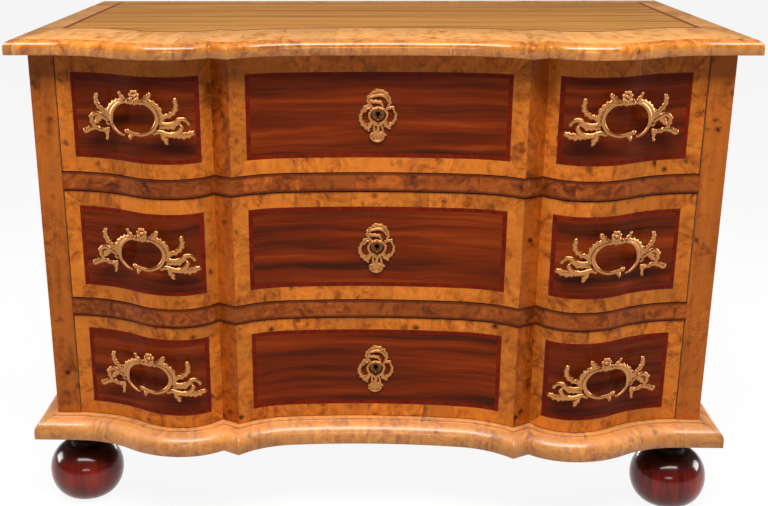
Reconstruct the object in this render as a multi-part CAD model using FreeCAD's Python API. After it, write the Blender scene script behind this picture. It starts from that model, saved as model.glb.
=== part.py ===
import FreeCAD, Part
import math
import os

# A chest of three long drawers with a serpentine front, in the German Baroque
# manner: a veneered softwood case on four turned bun feet, with cross-banded
# mouldings round the top and the base, and gilt brass pulls and escutcheons.
#
# Millimetres, +Z up. X runs along the front, -Y is the side with the drawers.
# The origin is on the floor, in the middle of the chest's bounding box.
#
# The front is one plan curve, drawn at "reach" 0 in the plane of the corner
# posts and growing towards the viewer. Every rail, drawer front, moulding and
# mount is that curve set out by its own offset, so they stay parallel.

V = FreeCAD.Vector

# ---- case ----
CASE_W = 1120.0            # over the corner posts
CASE_D = 627.0             # from the posts' front face to the back
POST_W = 39.0              # width of a post's front face
POST_D = 45.0
SIDE_T = 24.0              # side panels
BACK_T = 12.0
BACK_INSET = 3.0           # back panel behind the sides' rear edges
RAIL_H = 30.0              # rails between the drawers
RAIL_D = 60.0
RAIL_TENON_L = 15.0
RAIL_TENON_SHOULDER = 4.0  # wood above and below a tenon
RAIL_TENON_FRONT = 14.0    # from the post's face to the tenon
RAIL_TENON_T = 18.0
LOWER_OPENING_H = 186.0
MIDDLE_OPENING_H = 191.0
UPPER_OPENING_H = 195.0
BOTTOM_T = 22.0            # bottom board

# ---- plan curve of the front ----
CENTRE_R = 1300.0          # flat hollow in the middle
SHOULDER_X = 150.0         # where the hollow starts to tighten
RIDGE_X = 235.0            # sharp edge between hollow and return
RIDGE_REACH = 41.0
VALLEY_X = 266.0           # sharp inner edge between return and bow
VALLEY_REACH = 22.0
BOW_X = 333.0              # crest of each bow
BOW_REACH = 58.0
BOW_OUTER_R = 120.0        # crest's outer half, before the curve reverses

# ---- top ----
TOP_T = 24.0
TOP_OVERHANG = 31.0
TOP_OVOLO_R = 11.0
TOP_STEP_H = 1.5           # raised panel above the ovolo
TOP_STEP_IN = 13.0

# ---- base ----
BASE_H = 36.0
BASE_OVERHANG = 36.0
BASE_OVOLO_R = 19.0
BASE_STEP_H = 3.5          # fillet under the lowest drawer
BASE_STEP_REACH = 9.0
MEMBER_IN = 15.0           # mouldings' depth behind the case's faces

# ---- feet ----
FOOT_H = 135.0
FOOT_IN_SIDE = 35.0        # axis inside the case's side
FOOT_IN_FRONT = 32.0       # axis behind the posts' front face
FOOT_IN_BACK = 75.0        # axis in front of the case's back
BALL_R = 65.0
BALL_H = 98.0
PAD_R = 30.0               # flat the foot stands on
NECK_R = 26.0
NECK_H = 14.0
COLLAR_R = 31.0
FOOT_TENON_R = 14.0
FOOT_TENON_IN = 16.0       # tenon's depth in the bottom board
FOOT_BLOCK_W = 76.0

# ---- drawer running gear ----
TOP_RAIL_H = 24.0
TOP_RAIL_D = 40.0
RUNNER_W = 56.0
RUNNER_H = 20.0
GUIDE_H = 25.0
DUST_T = 8.0
DUST_DROP = 6.0            # dust board below the runners' top
STOP_X = 60.0
STOP_W = 30.0
STOP_D = 12.0
STOP_H = 8.0

# ---- drawers ----
DRAWER_BACK_GAP = 27.0     # drawer's back to the back panel
FRONT_INSET = 2.0          # drawer fronts behind the rails' faces
FRONT_T = 24.0
FRONT_GAP_SIDE = 1.0
FRONT_GAP_TOP = 1.5
FRONT_GAP_BELOW = 0.5
SIDE_BOARD_T = 12.0
SIDE_BOARD_DROP = 28.0     # drawer sides below the top of their opening
BACK_BOARD_DROP = 5.0      # drawer back below the sides' top
BOTTOM_BOARD_T = 8.0
BOTTOM_BOARD_UP = 12.0     # groove above the drawer's lower edge
GROOVE_D = 6.0
TAILS = 4                  # dovetails at each front corner
TAIL_LAP = 14.0
TAIL_ROOT_SHARE = 0.45     # root's share of the pitch
TAIL_SLOPE = 0.2
STOP_GAP = 0.6             # shut drawer to its stops

# ---- locks ----
LOCK_W = 70.0
LOCK_D = 20.0
LOCK_LET_IN = 3.0          # depth let into the drawer front
LOCK_BELOW_KEY = 22.0
LOCK_WALL = 2.5
LOCK_TOP_GAP = 3.0         # lock's top edge to the rail above
BOLT_W = 34.0
BOLT_T = 6.0
BOLT_ABOVE_KEY = 12.0
BOLT_THROW = 10.0
BOLT_CLEAR = 0.5
MORTISE_CLEAR = 1.0
KEYHOLE_R = 4.0
KEYHOLE_SLOT_W = 3.0
KEYHOLE_SLOT_L = 12.0
KEYWAY_R = 6.0             # keyway through the drawer front
KEY_PIN_R = 1.5

# ---- pulls ----
PULL_INSET = 11.5          # centre from the middle of the bow, towards its crest
PULL_RISE = 2.0            # centre above the middle of the opening
PULL_STAND = 15.0          # gap for the fingers
PULL_T = 7.0
RING_RX = 40.0             # opening's ring, to the middle of its band
RING_RZ = 27.0
RING_BAND = 8.0
BOSS_X = 46.0              # fixing bosses beside the ring
BOSS_DROP = 8.0
BOSS_R = 7.0
ROSETTE_RISE = 38.0
ROSETTE_R = 10.0
# Leaf sprigs: width, then a run of points in from and above the ring's centre.
SPRIGS = (
    (9.0, (-42.0, 5.0), (-60.0, 14.0), (-65.0, 34.0)),
    (11.0, (-46.0, -8.0), (-63.0, -2.0), (-77.0, -6.0)),
    (10.0, (-46.0, -14.0), (-72.0, -19.0), (-90.0, -25.0)),
    (8.0, (-48.0, -18.0), (-52.0, -34.0)),
    (9.0, (42.0, 7.0), (62.0, 13.0), (70.0, 26.0), (67.0, 34.0)),
    (9.0, (42.0, -6.0), (60.0, -2.0), (79.0, 0.0)),
    (10.0, (34.0, -19.0), (66.0, -21.0), (90.0, -23.0)),
    (8.0, (72.0, -20.0), (76.0, -2.0)),
    (8.0, (46.0, -20.0), (51.0, -34.0)),
    (8.0, (-14.0, 27.0), (-20.0, 38.0)),
    (8.0, (20.0, 26.0), (27.0, 40.0)),
)
PULL_BOLT_R = 2.5
PULL_BOLT_CLEAR = 0.2
NUT_R = 6.5
NUT_T = 5.0
NUT_SEAT_R = 9.5
NUT_SEAT_D = 7.0           # seat's depth in front of the drawer front's thinnest side

# ---- escutcheons ----
PLATE_T = 2.5
PLATE_R = 16.0             # round plate about the keyhole
CREST_RISE = 39.0
CREST_R = 5.5
SHELL_FALL = 37.0
SHELL_R = 9.0
# Scrolls about the keyhole: width, then a run of points to the right of and above it.
SCROLLS = (
    (8.0, (0.0, 0.0), (0.0, 39.0)),
    (7.0, (-14.0, 31.0), (2.0, 36.0), (16.0, 31.0), (17.0, 22.0)),
    (7.0, (-14.0, 18.0), (-24.0, 13.0), (-27.0, 1.0), (-25.0, -11.0), (-15.0, -23.0)),
    (7.0, (22.0, 15.0), (26.0, 4.0), (23.0, -8.0), (15.0, -20.0), (0.0, -24.0)),
    (7.0, (-15.0, -22.0), (0.0, -24.0)),
    (7.0, (-24.0, 2.0), (24.0, 2.0)),
    (10.0, (0.0, 0.0), (0.0, -37.0)),
)

# ---- places that follow ----
HALF_W = CASE_W / 2
OPENING_X = HALF_W - POST_W
FRONT_Y = (BOW_REACH + BASE_OVERHANG - CASE_D) / 2
BACK_Y = FRONT_Y + CASE_D
BASE_TOP = FOOT_H + BASE_H
LOWER_RAIL_Z = BASE_TOP + LOWER_OPENING_H
UPPER_RAIL_Z = LOWER_RAIL_Z + RAIL_H + MIDDLE_OPENING_H
CASE_TOP = UPPER_RAIL_Z + RAIL_H + UPPER_OPENING_H
SIDE_IN_X = HALF_W - SIDE_T
BACK_REACH = -(CASE_D - BACK_INSET - BACK_T)    # back panel's inner face
DRAWER_REACH = BACK_REACH + DRAWER_BACK_GAP     # drawers' back
DRAWER_X = OPENING_X - FRONT_GAP_SIDE
INNER_REACH = -(FRONT_INSET + FRONT_T)     # back of a drawer front at the middle
TOP_RAIL_REACH = INNER_REACH - FRONT_GAP_SIDE
PULL_X = (VALLEY_X + OPENING_X) / 2 - PULL_INSET
BOLT_REACH = INNER_REACH - LOCK_D / 2 - BOLT_CLEAR
# Each opening: drawer name, floor, ceiling and the underside that its lock shoots into.
OPENINGS = (
    ("lower", BASE_TOP, LOWER_RAIL_Z, LOWER_RAIL_Z),
    ("middle", LOWER_RAIL_Z + RAIL_H, UPPER_RAIL_Z, UPPER_RAIL_Z),
    ("upper", UPPER_RAIL_Z + RAIL_H, CASE_TOP, CASE_TOP - TOP_RAIL_H),
)


def y_at(reach):
    """Y of a point that stands this far in front of the posts' face."""
    return FRONT_Y - reach


def box(x0, x1, reach0, reach1, z0, z1):
    """Block between two X values, two reaches (front first) and two heights."""
    size = (x1 - x0, reach0 - reach1, z1 - z0)
    return Part.makeBox(*size, V(x0, y_at(reach0), z0))


def rod(x, z, radius, reach0, reach1):
    """Round bar that runs from front to back."""
    return Part.makeCylinder(radius, reach0 - reach1, V(x, y_at(reach0), z), V(0, 1, 0))


def fuse_all(shapes):
    return shapes[0].fuse(shapes[1:]).removeSplitter()


def prism(points, z0, z1):
    """Straight-sided block with the given (x, reach) corners."""
    corners = [V(x, y_at(reach), z0) for x, reach in points]
    face = Part.Face(Part.makePolygon(corners + corners[:1]))
    return face.extrude(V(0, 0, z1 - z0))


# ---- the front's plan curve ----

def on_circle(centre, radius, angle):
    return (centre[0] + radius * math.cos(angle), centre[1] + radius * math.sin(angle))


def angle_of(centre, point):
    return math.atan2(point[1] - centre[1], point[0] - centre[0])


def radius_through(tangent_point, to_centre, point):
    """Radius of the circle that leaves tangent_point square to to_centre and meets point."""
    dx = point[0] - tangent_point[0]
    dy = point[1] - tangent_point[1]
    return (dx * dx + dy * dy) / (2 * (dx * to_centre[0] + dy * to_centre[1]))


def line_on_circle(start, direction, centre, radius, near):
    """Where a line crosses a circle, at the crossing closest to near."""
    wx = start[0] - centre[0]
    wy = start[1] - centre[1]
    along = wx * direction[0] + wy * direction[1]
    root = math.sqrt(along * along - wx * wx - wy * wy + radius * radius)
    crossings = [
        (start[0] + t * direction[0], start[1] + t * direction[1])
        for t in (-along - root, -along + root)
    ]
    return min(crossings, key=lambda p: math.dist(p, near))


def half_curve(offset):
    """Right half of the front, from the middle to the post, as runs of (x, reach).

    A run of three points is an arc (start, middle, end), and a run of two is straight.
    """
    ridge = (RIDGE_X, RIDGE_REACH)
    valley = (VALLEY_X, VALLEY_REACH)
    crest = (BOW_X, BOW_REACH)

    turn = math.asin(SHOULDER_X / CENTRE_R)
    inward = (-math.sin(turn), math.cos(turn))
    middle_c = (0.0, CENTRE_R)
    shoulder = (SHOULDER_X, CENTRE_R - CENTRE_R * math.cos(turn))
    tight_r = radius_through(shoulder, inward, ridge)
    tight_c = (shoulder[0] + tight_r * inward[0], shoulder[1] + tight_r * inward[1])

    length = math.dist(ridge, valley)
    along = ((valley[0] - ridge[0]) / length, (valley[1] - ridge[1]) / length)
    side_start = (ridge[0] - offset * along[1], ridge[1] + offset * along[0])

    bow_r = radius_through(crest, (0.0, -1.0), valley)
    bow_c = (BOW_X, BOW_REACH - bow_r)
    run = OPENING_X - BOW_X
    both_r = (run * run + BOW_REACH * BOW_REACH) / (2 * BOW_REACH)
    sweep = math.asin(run / both_r)
    outer_c = (BOW_X, BOW_REACH - BOW_OUTER_R)
    reverse_r = both_r - BOW_OUTER_R
    reverse_c = (OPENING_X, reverse_r)

    ridge_off = line_on_circle(side_start, along, tight_c, tight_r - offset, ridge)
    valley_off = line_on_circle(side_start, along, bow_c, bow_r + offset, valley)

    def arc(centre, radius, start, end):
        return [on_circle(centre, radius, a) for a in (start, (start + end) / 2, end)]

    down = -math.pi / 2
    up = math.pi / 2
    return [
        arc(middle_c, CENTRE_R - offset, down, down + turn),
        arc(tight_c, tight_r - offset, down + turn, angle_of(tight_c, ridge_off)),
        [ridge_off, valley_off],
        arc(bow_c, bow_r + offset, angle_of(bow_c, valley_off) % (2 * math.pi), up),
        arc(outer_c, BOW_OUTER_R + offset, up, up - sweep),
        arc(reverse_c, reverse_r - offset, down - sweep, down),
    ]


def curve_edges(offset):
    """The whole front from left to right, as edges at z = 0."""
    right = half_curve(offset)
    left = [[(-x, reach) for x, reach in run[::-1]] for run in right[::-1]]
    edges = []
    for run in left + right:
        points = [V(x, y_at(reach), 0) for x, reach in run]
        curve = Part.Arc(*points) if len(points) == 3 else Part.LineSegment(*points)
        edges.append(curve.toShape())
    return edges


def curved_block(offset, half_width, back_reach, z0, z1):
    """Solid with the serpentine front at this offset and a straight back."""
    edges = curve_edges(offset)
    corners = [
        (OPENING_X, offset), (half_width, offset), (half_width, back_reach),
        (-half_width, back_reach), (-half_width, offset), (-OPENING_X, offset),
    ]
    points = [V(x, y_at(reach), 0) for x, reach in corners]
    for start, end in zip(points, points[1:]):
        if start.distanceToPoint(end) > 1e-6:
            edges.append(Part.LineSegment(start, end).toShape())
    face = Part.Face(Part.Wire(Part.__sortEdges__(edges)))
    solid = face.extrude(V(0, 0, z1 - z0))
    solid.translate(V(0, 0, z0))
    return solid


def moulded_slab(overhang, ovolo_r, step_h, step_offset, z0, z1):
    """Slab with an ovolo edge on the front and sides and a shallow step above it."""
    shoulder_z = z1 - step_h
    lower = curved_block(overhang, HALF_W + overhang, -CASE_D, z0, shoulder_z)
    rim = []
    for edge in lower.Edges:
        bounds = edge.BoundBox
        on_top = bounds.ZMin > shoulder_z - 0.01
        at_back = bounds.YMin > BACK_Y - 0.01
        if on_top and not at_back:
            rim.append(edge)
    lower = lower.makeFillet(ovolo_r, rim)
    step = curved_block(step_offset, HALF_W + step_offset, -CASE_D, shoulder_z, z1)
    return lower.fuse(step).removeSplitter()


def split_slab(slab, overhang, z0, z1):
    """Cut a slab into its mitred front and side members and the board between them."""
    outer = overhang + BOW_REACH
    inner_x = HALF_W - MEMBER_IN
    inner_reach = -MEMBER_IN
    spread = outer - inner_reach
    wide_x = inner_x + spread
    front = prism([(-wide_x, outer), (wide_x, outer), (inner_x, inner_reach),
                   (-inner_x, inner_reach)], z0, z1)
    right = prism([(inner_x, inner_reach), (wide_x, outer), (wide_x, -CASE_D),
                   (inner_x, -CASE_D)], z0, z1)
    left = right.mirror(V(0, 0, 0), V(1, 0, 0))
    board = box(-inner_x, inner_x, inner_reach, -CASE_D, z0, z1)
    return [slab.common(piece) for piece in (front, left, right, board)]


# ---- case pieces ----

def tenon(side, rail_z):
    x0, x1 = sorted((side * OPENING_X, side * (OPENING_X + RAIL_TENON_L)))
    back = -RAIL_TENON_FRONT - RAIL_TENON_T
    return box(x0, x1, -RAIL_TENON_FRONT, back, rail_z + RAIL_TENON_SHOULDER,
               rail_z + RAIL_H - RAIL_TENON_SHOULDER)


def lock_mortise(underside):
    half = BOLT_W / 2 + MORTISE_CLEAR
    depth = BOLT_T / 2 + MORTISE_CLEAR
    height = BOLT_THROW - LOCK_TOP_GAP + MORTISE_CLEAR
    return box(-half, half, BOLT_REACH + depth, BOLT_REACH - depth, underside,
               underside + height)


def rail(rail_z):
    body = curved_block(0.0, OPENING_X, -RAIL_D, rail_z, rail_z + RAIL_H)
    body = fuse_all([body, tenon(-1, rail_z), tenon(1, rail_z)])
    return body.cut(lock_mortise(rail_z))


def post(side):
    x0, x1 = sorted((side * OPENING_X, side * HALF_W))
    body = box(x0, x1, 0.0, -POST_D, BASE_TOP, CASE_TOP)
    for rail_z in (LOWER_RAIL_Z, UPPER_RAIL_Z):
        body = body.cut(tenon(side, rail_z))
    return body


def runner(side, floor_z):
    """L-shaped strip beside a drawer: it carries the drawer and guides its side."""
    inner, guide = SIDE_IN_X - RUNNER_W, OPENING_X
    x0, x1 = sorted((side * inner, side * SIDE_IN_X))
    g0, g1 = sorted((side * guide, side * SIDE_IN_X))
    lower = box(x0, x1, -RAIL_D, BACK_REACH, floor_z - RUNNER_H, floor_z)
    return fuse_all([lower, box(g0, g1, -RAIL_D, BACK_REACH, floor_z, floor_z + GUIDE_H)])


def running_strips():
    """Runners of the upper two drawers, guides of the lowest and kickers of the top one."""
    strips = []
    kicker_front = TOP_RAIL_REACH - TOP_RAIL_D
    for side in (-1, 1):
        for rail_z in (LOWER_RAIL_Z, UPPER_RAIL_Z):
            strips.append(runner(side, rail_z + RAIL_H))
        g0, g1 = sorted((side * OPENING_X, side * SIDE_IN_X))
        k0, k1 = sorted((side * (SIDE_IN_X - RUNNER_W), side * SIDE_IN_X))
        strips.append(box(g0, g1, -RAIL_D, BACK_REACH, BASE_TOP, BASE_TOP + GUIDE_H))
        strips.append(box(k0, k1, kicker_front, BACK_REACH, CASE_TOP - TOP_RAIL_H, CASE_TOP))
    return Part.makeCompound(strips)


def dust_boards():
    boards = []
    half = SIDE_IN_X - RUNNER_W
    for rail_z in (LOWER_RAIL_Z, UPPER_RAIL_Z):
        top = rail_z + RAIL_H - DUST_DROP
        boards.append(box(-half, half, -RAIL_D, BACK_REACH, top - DUST_T, top))
    return Part.makeCompound(boards)


def drawer_stops():
    stops = []
    front = INNER_REACH - STOP_GAP
    for _, floor_z, _, _ in OPENINGS:
        for side in (-1, 1):
            x = side * STOP_X
            stops.append(box(x - STOP_W / 2, x + STOP_W / 2, front, front - STOP_D,
                             floor_z, floor_z + STOP_H))
    return Part.makeCompound(stops)


def foot_places():
    """Each foot's name and the (x, reach) of its axis."""
    x = HALF_W - FOOT_IN_SIDE
    back = FOOT_IN_BACK - CASE_D
    return {
        "foot_front_left": (-x, -FOOT_IN_FRONT),
        "foot_front_right": (x, -FOOT_IN_FRONT),
        "foot_back_left": (-x, back),
        "foot_back_right": (x, back),
    }


def foot_tenon(x, reach):
    height = BASE_H - BOTTOM_T + FOOT_TENON_IN
    return Part.makeCylinder(FOOT_TENON_R, height, V(x, y_at(reach), FOOT_H))


def foot(x, reach):
    """Bun foot turned in one piece: pad, flattened ball, hollow neck, collar and tenon."""
    half = BALL_H / 2
    neck_mid = BALL_H + NECK_H / 2
    neck_top = BALL_H + NECK_H
    bulge = math.sin(math.pi / 4)
    low_mid = V(PAD_R + (BALL_R - PAD_R) * bulge, 0, half * (1 - bulge))
    high_mid = V(NECK_R + (BALL_R - NECK_R) * bulge, 0, half * (1 + bulge))
    edges = [
        Part.LineSegment(V(0, 0, 0), V(PAD_R, 0, 0)),
        Part.Arc(V(PAD_R, 0, 0), low_mid, V(BALL_R, 0, half)),
        Part.Arc(V(BALL_R, 0, half), high_mid, V(NECK_R, 0, BALL_H)),
        Part.Arc(V(NECK_R, 0, BALL_H), V(NECK_R * 0.9, 0, neck_mid), V(NECK_R, 0, neck_top)),
        Part.LineSegment(V(NECK_R, 0, neck_top), V(COLLAR_R, 0, neck_top)),
        Part.LineSegment(V(COLLAR_R, 0, neck_top), V(COLLAR_R, 0, FOOT_H)),
        Part.LineSegment(V(COLLAR_R, 0, FOOT_H), V(0, 0, FOOT_H)),
        Part.LineSegment(V(0, 0, FOOT_H), V(0, 0, 0)),
    ]
    face = Part.Face(Part.Wire([edge.toShape() for edge in edges]))
    turned = face.revolve(V(0, 0, 0), V(0, 0, 1), 360)
    turned.translate(V(x, y_at(reach), 0))
    return fuse_all([turned, foot_tenon(x, reach)])


def foot_blocks():
    """Square blocks under the bottom board that the feet's tenons pass through."""
    blocks = []
    inner_x = HALF_W - MEMBER_IN
    for x, reach in foot_places().values():
        side = math.copysign(1, x)
        x0, x1 = sorted((side * inner_x, side * (inner_x - FOOT_BLOCK_W)))
        centre = min(reach, -MEMBER_IN - FOOT_BLOCK_W / 2)
        block = box(x0, x1, centre + FOOT_BLOCK_W / 2, centre - FOOT_BLOCK_W / 2,
                    FOOT_H, BASE_TOP - BOTTOM_T)
        blocks.append(block.cut(foot_tenon(x, reach)))
    return Part.makeCompound(blocks)


# ---- drawer pieces ----

def board_heights(floor_z, ceiling_z):
    """Lower edge, side board's top and bottom board's underside of one drawer."""
    low = floor_z + FRONT_GAP_BELOW
    return low, ceiling_z - SIDE_BOARD_DROP, low + BOTTOM_BOARD_UP


def dovetails(side, low, high):
    """The tails of one side board, which lie in sockets in the drawer front."""
    pitch = (high - low) / TAILS
    root = pitch * TAIL_ROOT_SHARE / 2
    tip = root + TAIL_LAP * TAIL_SLOPE
    x0 = min(side * DRAWER_X, side * (DRAWER_X - SIDE_BOARD_T))
    tails = []
    for i in range(TAILS):
        z = low + (i + 0.5) * pitch
        corners = [(INNER_REACH, z - root), (INNER_REACH + TAIL_LAP, z - tip),
                   (INNER_REACH + TAIL_LAP, z + tip), (INNER_REACH, z + root)]
        points = [V(x0, y_at(reach), height) for reach, height in corners]
        face = Part.Face(Part.makePolygon(points + points[:1]))
        tails.append(face.extrude(V(SIDE_BOARD_T, 0, 0)))
    return tails


def bottom_board(under):
    """Panel that follows the front's curve and sits in grooves on three sides."""
    half = DRAWER_X - SIDE_BOARD_T + GROOVE_D
    panel = curved_block(INNER_REACH + GROOVE_D, OPENING_X, DRAWER_REACH, under,
                         under + BOTTOM_BOARD_T)
    keep = box(-half, half, BOW_REACH, DRAWER_REACH, under, under + BOTTOM_BOARD_T)
    return panel.common(keep)


def side_board(side, low, high, panel):
    x0, x1 = sorted((side * DRAWER_X, side * (DRAWER_X - SIDE_BOARD_T)))
    board = box(x0, x1, INNER_REACH, DRAWER_REACH, low, high)
    return fuse_all([board] + dovetails(side, low, high)).cut(panel)


def back_board(low, high, under):
    half = DRAWER_X - SIDE_BOARD_T
    return box(-half, half, DRAWER_REACH + SIDE_BOARD_T, DRAWER_REACH,
               under + BOTTOM_BOARD_T, high - BACK_BOARD_DROP)


def lock_block(key_z, shoot_z):
    half = LOCK_W / 2
    front = INNER_REACH + LOCK_LET_IN
    return box(-half, half, front, front - LOCK_D, key_z - LOCK_BELOW_KEY,
               shoot_z - LOCK_TOP_GAP)


def lock_case(key_z, shoot_z):
    """Iron box lock: a chamber for the bolt's tail and a slot for the bolt in its top."""
    half = LOCK_W / 2 - LOCK_WALL
    front = INNER_REACH + LOCK_LET_IN
    back = front - LOCK_D
    top = shoot_z - LOCK_TOP_GAP
    slot_half = BOLT_W / 2 + BOLT_CLEAR
    slot_depth = BOLT_T / 2 + BOLT_CLEAR
    chamber = box(-half, half, front - LOCK_WALL, back + LOCK_WALL,
                  key_z - LOCK_BELOW_KEY + LOCK_WALL, top - LOCK_WALL)
    slot = box(-slot_half, slot_half, BOLT_REACH + slot_depth, BOLT_REACH - slot_depth,
               top - LOCK_WALL, top)
    case = lock_block(key_z, shoot_z).cut([chamber, slot, keyhole(key_z, front, front - LOCK_WALL)])
    return fuse_all([case, rod(0, key_z, KEY_PIN_R, front - LOCK_WALL, back + LOCK_WALL)])


def lock_bolt(key_z, shoot_z):
    half = BOLT_W / 2
    depth = BOLT_T / 2
    return box(-half, half, BOLT_REACH + depth, BOLT_REACH - depth,
               key_z + BOLT_ABOVE_KEY, shoot_z - LOCK_TOP_GAP - BOLT_CLEAR)


def keyhole(key_z, reach0, reach1):
    """Round hole with a slot below it for the key's bit."""
    half = KEYHOLE_SLOT_W / 2
    slot = box(-half, half, reach0, reach1, key_z - KEYHOLE_SLOT_L, key_z)
    return fuse_all([rod(0, key_z, KEYHOLE_R, reach0, reach1), slot])


def drawer_front(low, ceiling_z, key_z, shoot_z, pull_z, panel):
    top = ceiling_z - FRONT_GAP_TOP
    outer = curved_block(-FRONT_INSET, OPENING_X, -POST_D, low, top)
    hollow = curved_block(INNER_REACH, OPENING_X + 1, -POST_D - 1, low - 1, top + 1)
    keep = box(-DRAWER_X, DRAWER_X, BOW_REACH, -POST_D, low, top)
    front = outer.cut(hollow).common(keep)
    cuts = [panel, lock_block(key_z, shoot_z), rod(0, key_z, KEYWAY_R, BOW_REACH, -POST_D)]
    for side in (-1, 1):
        cuts += dovetails(side, low, ceiling_z - SIDE_BOARD_DROP)
        for x in boss_places(side):
            cuts.append(rod(x, pull_z - BOSS_DROP, PULL_BOLT_R + PULL_BOLT_CLEAR,
                            BOW_REACH, -POST_D))
            cuts.append(rod(x, pull_z - BOSS_DROP, NUT_SEAT_R, seat_reach(x), -POST_D))
    return front.cut(cuts)


def boss_places(side):
    return [side * PULL_X - BOSS_X, side * PULL_X + BOSS_X]


def reach_at(x, offset):
    """How far the curve at this offset stands forward at one X."""
    line = box(x - 0.5, x + 0.5, 2 * BOW_REACH, -POST_D, 0, 1)
    met = curved_block(offset, OPENING_X, -POST_D - 1, 0, 1).common(line)
    return FRONT_Y - met.BoundBox.YMin


def seat_reach(x):
    """Flat seat for a nut, cut just deep enough into the sloping back of the front."""
    return reach_at(x, INNER_REACH) + NUT_SEAT_D


def curved_shell(offset, thickness, half_h):
    """Layer that hugs the front between two offsets, centred on z = 0."""
    outer = curved_block(offset + thickness, OPENING_X, -POST_D, -half_h, half_h)
    inner = curved_block(offset, OPENING_X, -POST_D - 1, -half_h - 1, half_h + 1)
    return outer.cut(inner)


def bar(start, end, width):
    """Flat bar in the XZ plane with round ends, long enough in Y to cross any shell."""
    deep = BOW_REACH + 2 * PULL_STAND
    reach = POST_D
    length = math.dist(start, end)
    slope = math.degrees(math.atan2(end[1] - start[1], end[0] - start[0]))
    body = Part.makeBox(length, deep + reach, width, V(0, y_at(deep), -width / 2))
    body.rotate(V(0, 0, 0), V(0, 1, 0), -slope)
    body.translate(V(start[0], 0, start[1]))
    return [body, rod(end[0], end[1], width / 2, deep, -reach)]


def ribbon(points, width):
    """Flat bars end to end through a run of (x, z) points."""
    pieces = []
    for start, end in zip(points, points[1:]):
        pieces += bar(start, end, width)
    return pieces


def pull(side):
    """Cast brass pull that follows the bow: ring, leaf sprigs, rosette and two bosses."""
    cx = side * PULL_X
    deep = BOW_REACH + 2 * PULL_STAND
    stand = -FRONT_INSET + PULL_STAND
    height = RING_RZ + ROSETTE_RISE + ROSETTE_R

    def oval(rx, rz):
        ellipse = Part.Ellipse(V(0, 0, 0), rx, rz)
        face = Part.Face(Part.Wire(ellipse.toShape()))
        face.rotate(V(0, 0, 0), V(1, 0, 0), 90)
        face.translate(V(cx, y_at(deep), 0))
        return face.extrude(V(0, deep + POST_D, 0))

    half_band = RING_BAND / 2
    opening = oval(RING_RX - half_band, RING_RZ - half_band)
    pieces = [oval(RING_RX + half_band, RING_RZ + half_band)]
    pieces.append(rod(cx, ROSETTE_RISE, ROSETTE_R, deep, -POST_D))
    for width, *points in SPRIGS:
        pieces += ribbon([(cx - side * x, z) for x, z in points], width)
    pattern = fuse_all(pieces).cut(opening)
    casting = pattern.common(curved_shell(stand, PULL_T, height))
    drawer_face = curved_block(-FRONT_INSET, OPENING_X, -POST_D, -height, height)
    solids = [casting]
    for x in boss_places(side):
        tip = reach_at(x, stand + PULL_T / 2)
        boss = rod(x, -BOSS_DROP, BOSS_R, tip, -POST_D).cut(drawer_face)
        solids.append(boss)
    whole = fuse_all(solids)
    for x in boss_places(side):
        whole = whole.cut(bolt_shank(x, -BOSS_DROP))
    return whole


def bolt_shank(x, z):
    """Fixing bolt from inside a boss to its nut behind the drawer front."""
    front = reach_at(x, -FRONT_INSET) + PULL_STAND / 2
    return rod(x, z, PULL_BOLT_R, front, seat_reach(x) - NUT_T - 2 * PULL_BOLT_R)


def pull_bolts(z):
    solids = []
    for side in (-1, 1):
        for x in boss_places(side):
            seat = seat_reach(x)
            nut = rod(x, z, NUT_R, seat, seat - NUT_T)
            solids.append(fuse_all([bolt_shank(x, z), nut]))
    return Part.makeCompound(solids)


def escutcheon(key_z):
    """Brass plate on the hollow of the front, pierced for the key."""
    shell = curved_shell(-FRONT_INSET, PLATE_T, CREST_RISE + SHELL_FALL)
    pieces = [
        rod(0, 0, PLATE_R, BOW_REACH, -POST_D),
        rod(0, CREST_RISE, CREST_R, BOW_REACH, -POST_D),
        rod(0, -SHELL_FALL, SHELL_R, BOW_REACH, -POST_D),
    ]
    for width, *points in SCROLLS:
        pieces += ribbon(points, width)
    plate = fuse_all(pieces).common(shell).cut(keyhole(0.0, BOW_REACH, -POST_D))
    plate.translate(V(0, 0, key_z))
    return plate


def save(name, shape):
    if not shape.isValid():
        print("not valid:", name)
    shape.exportStep("parts/" + name + ".step")


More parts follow.
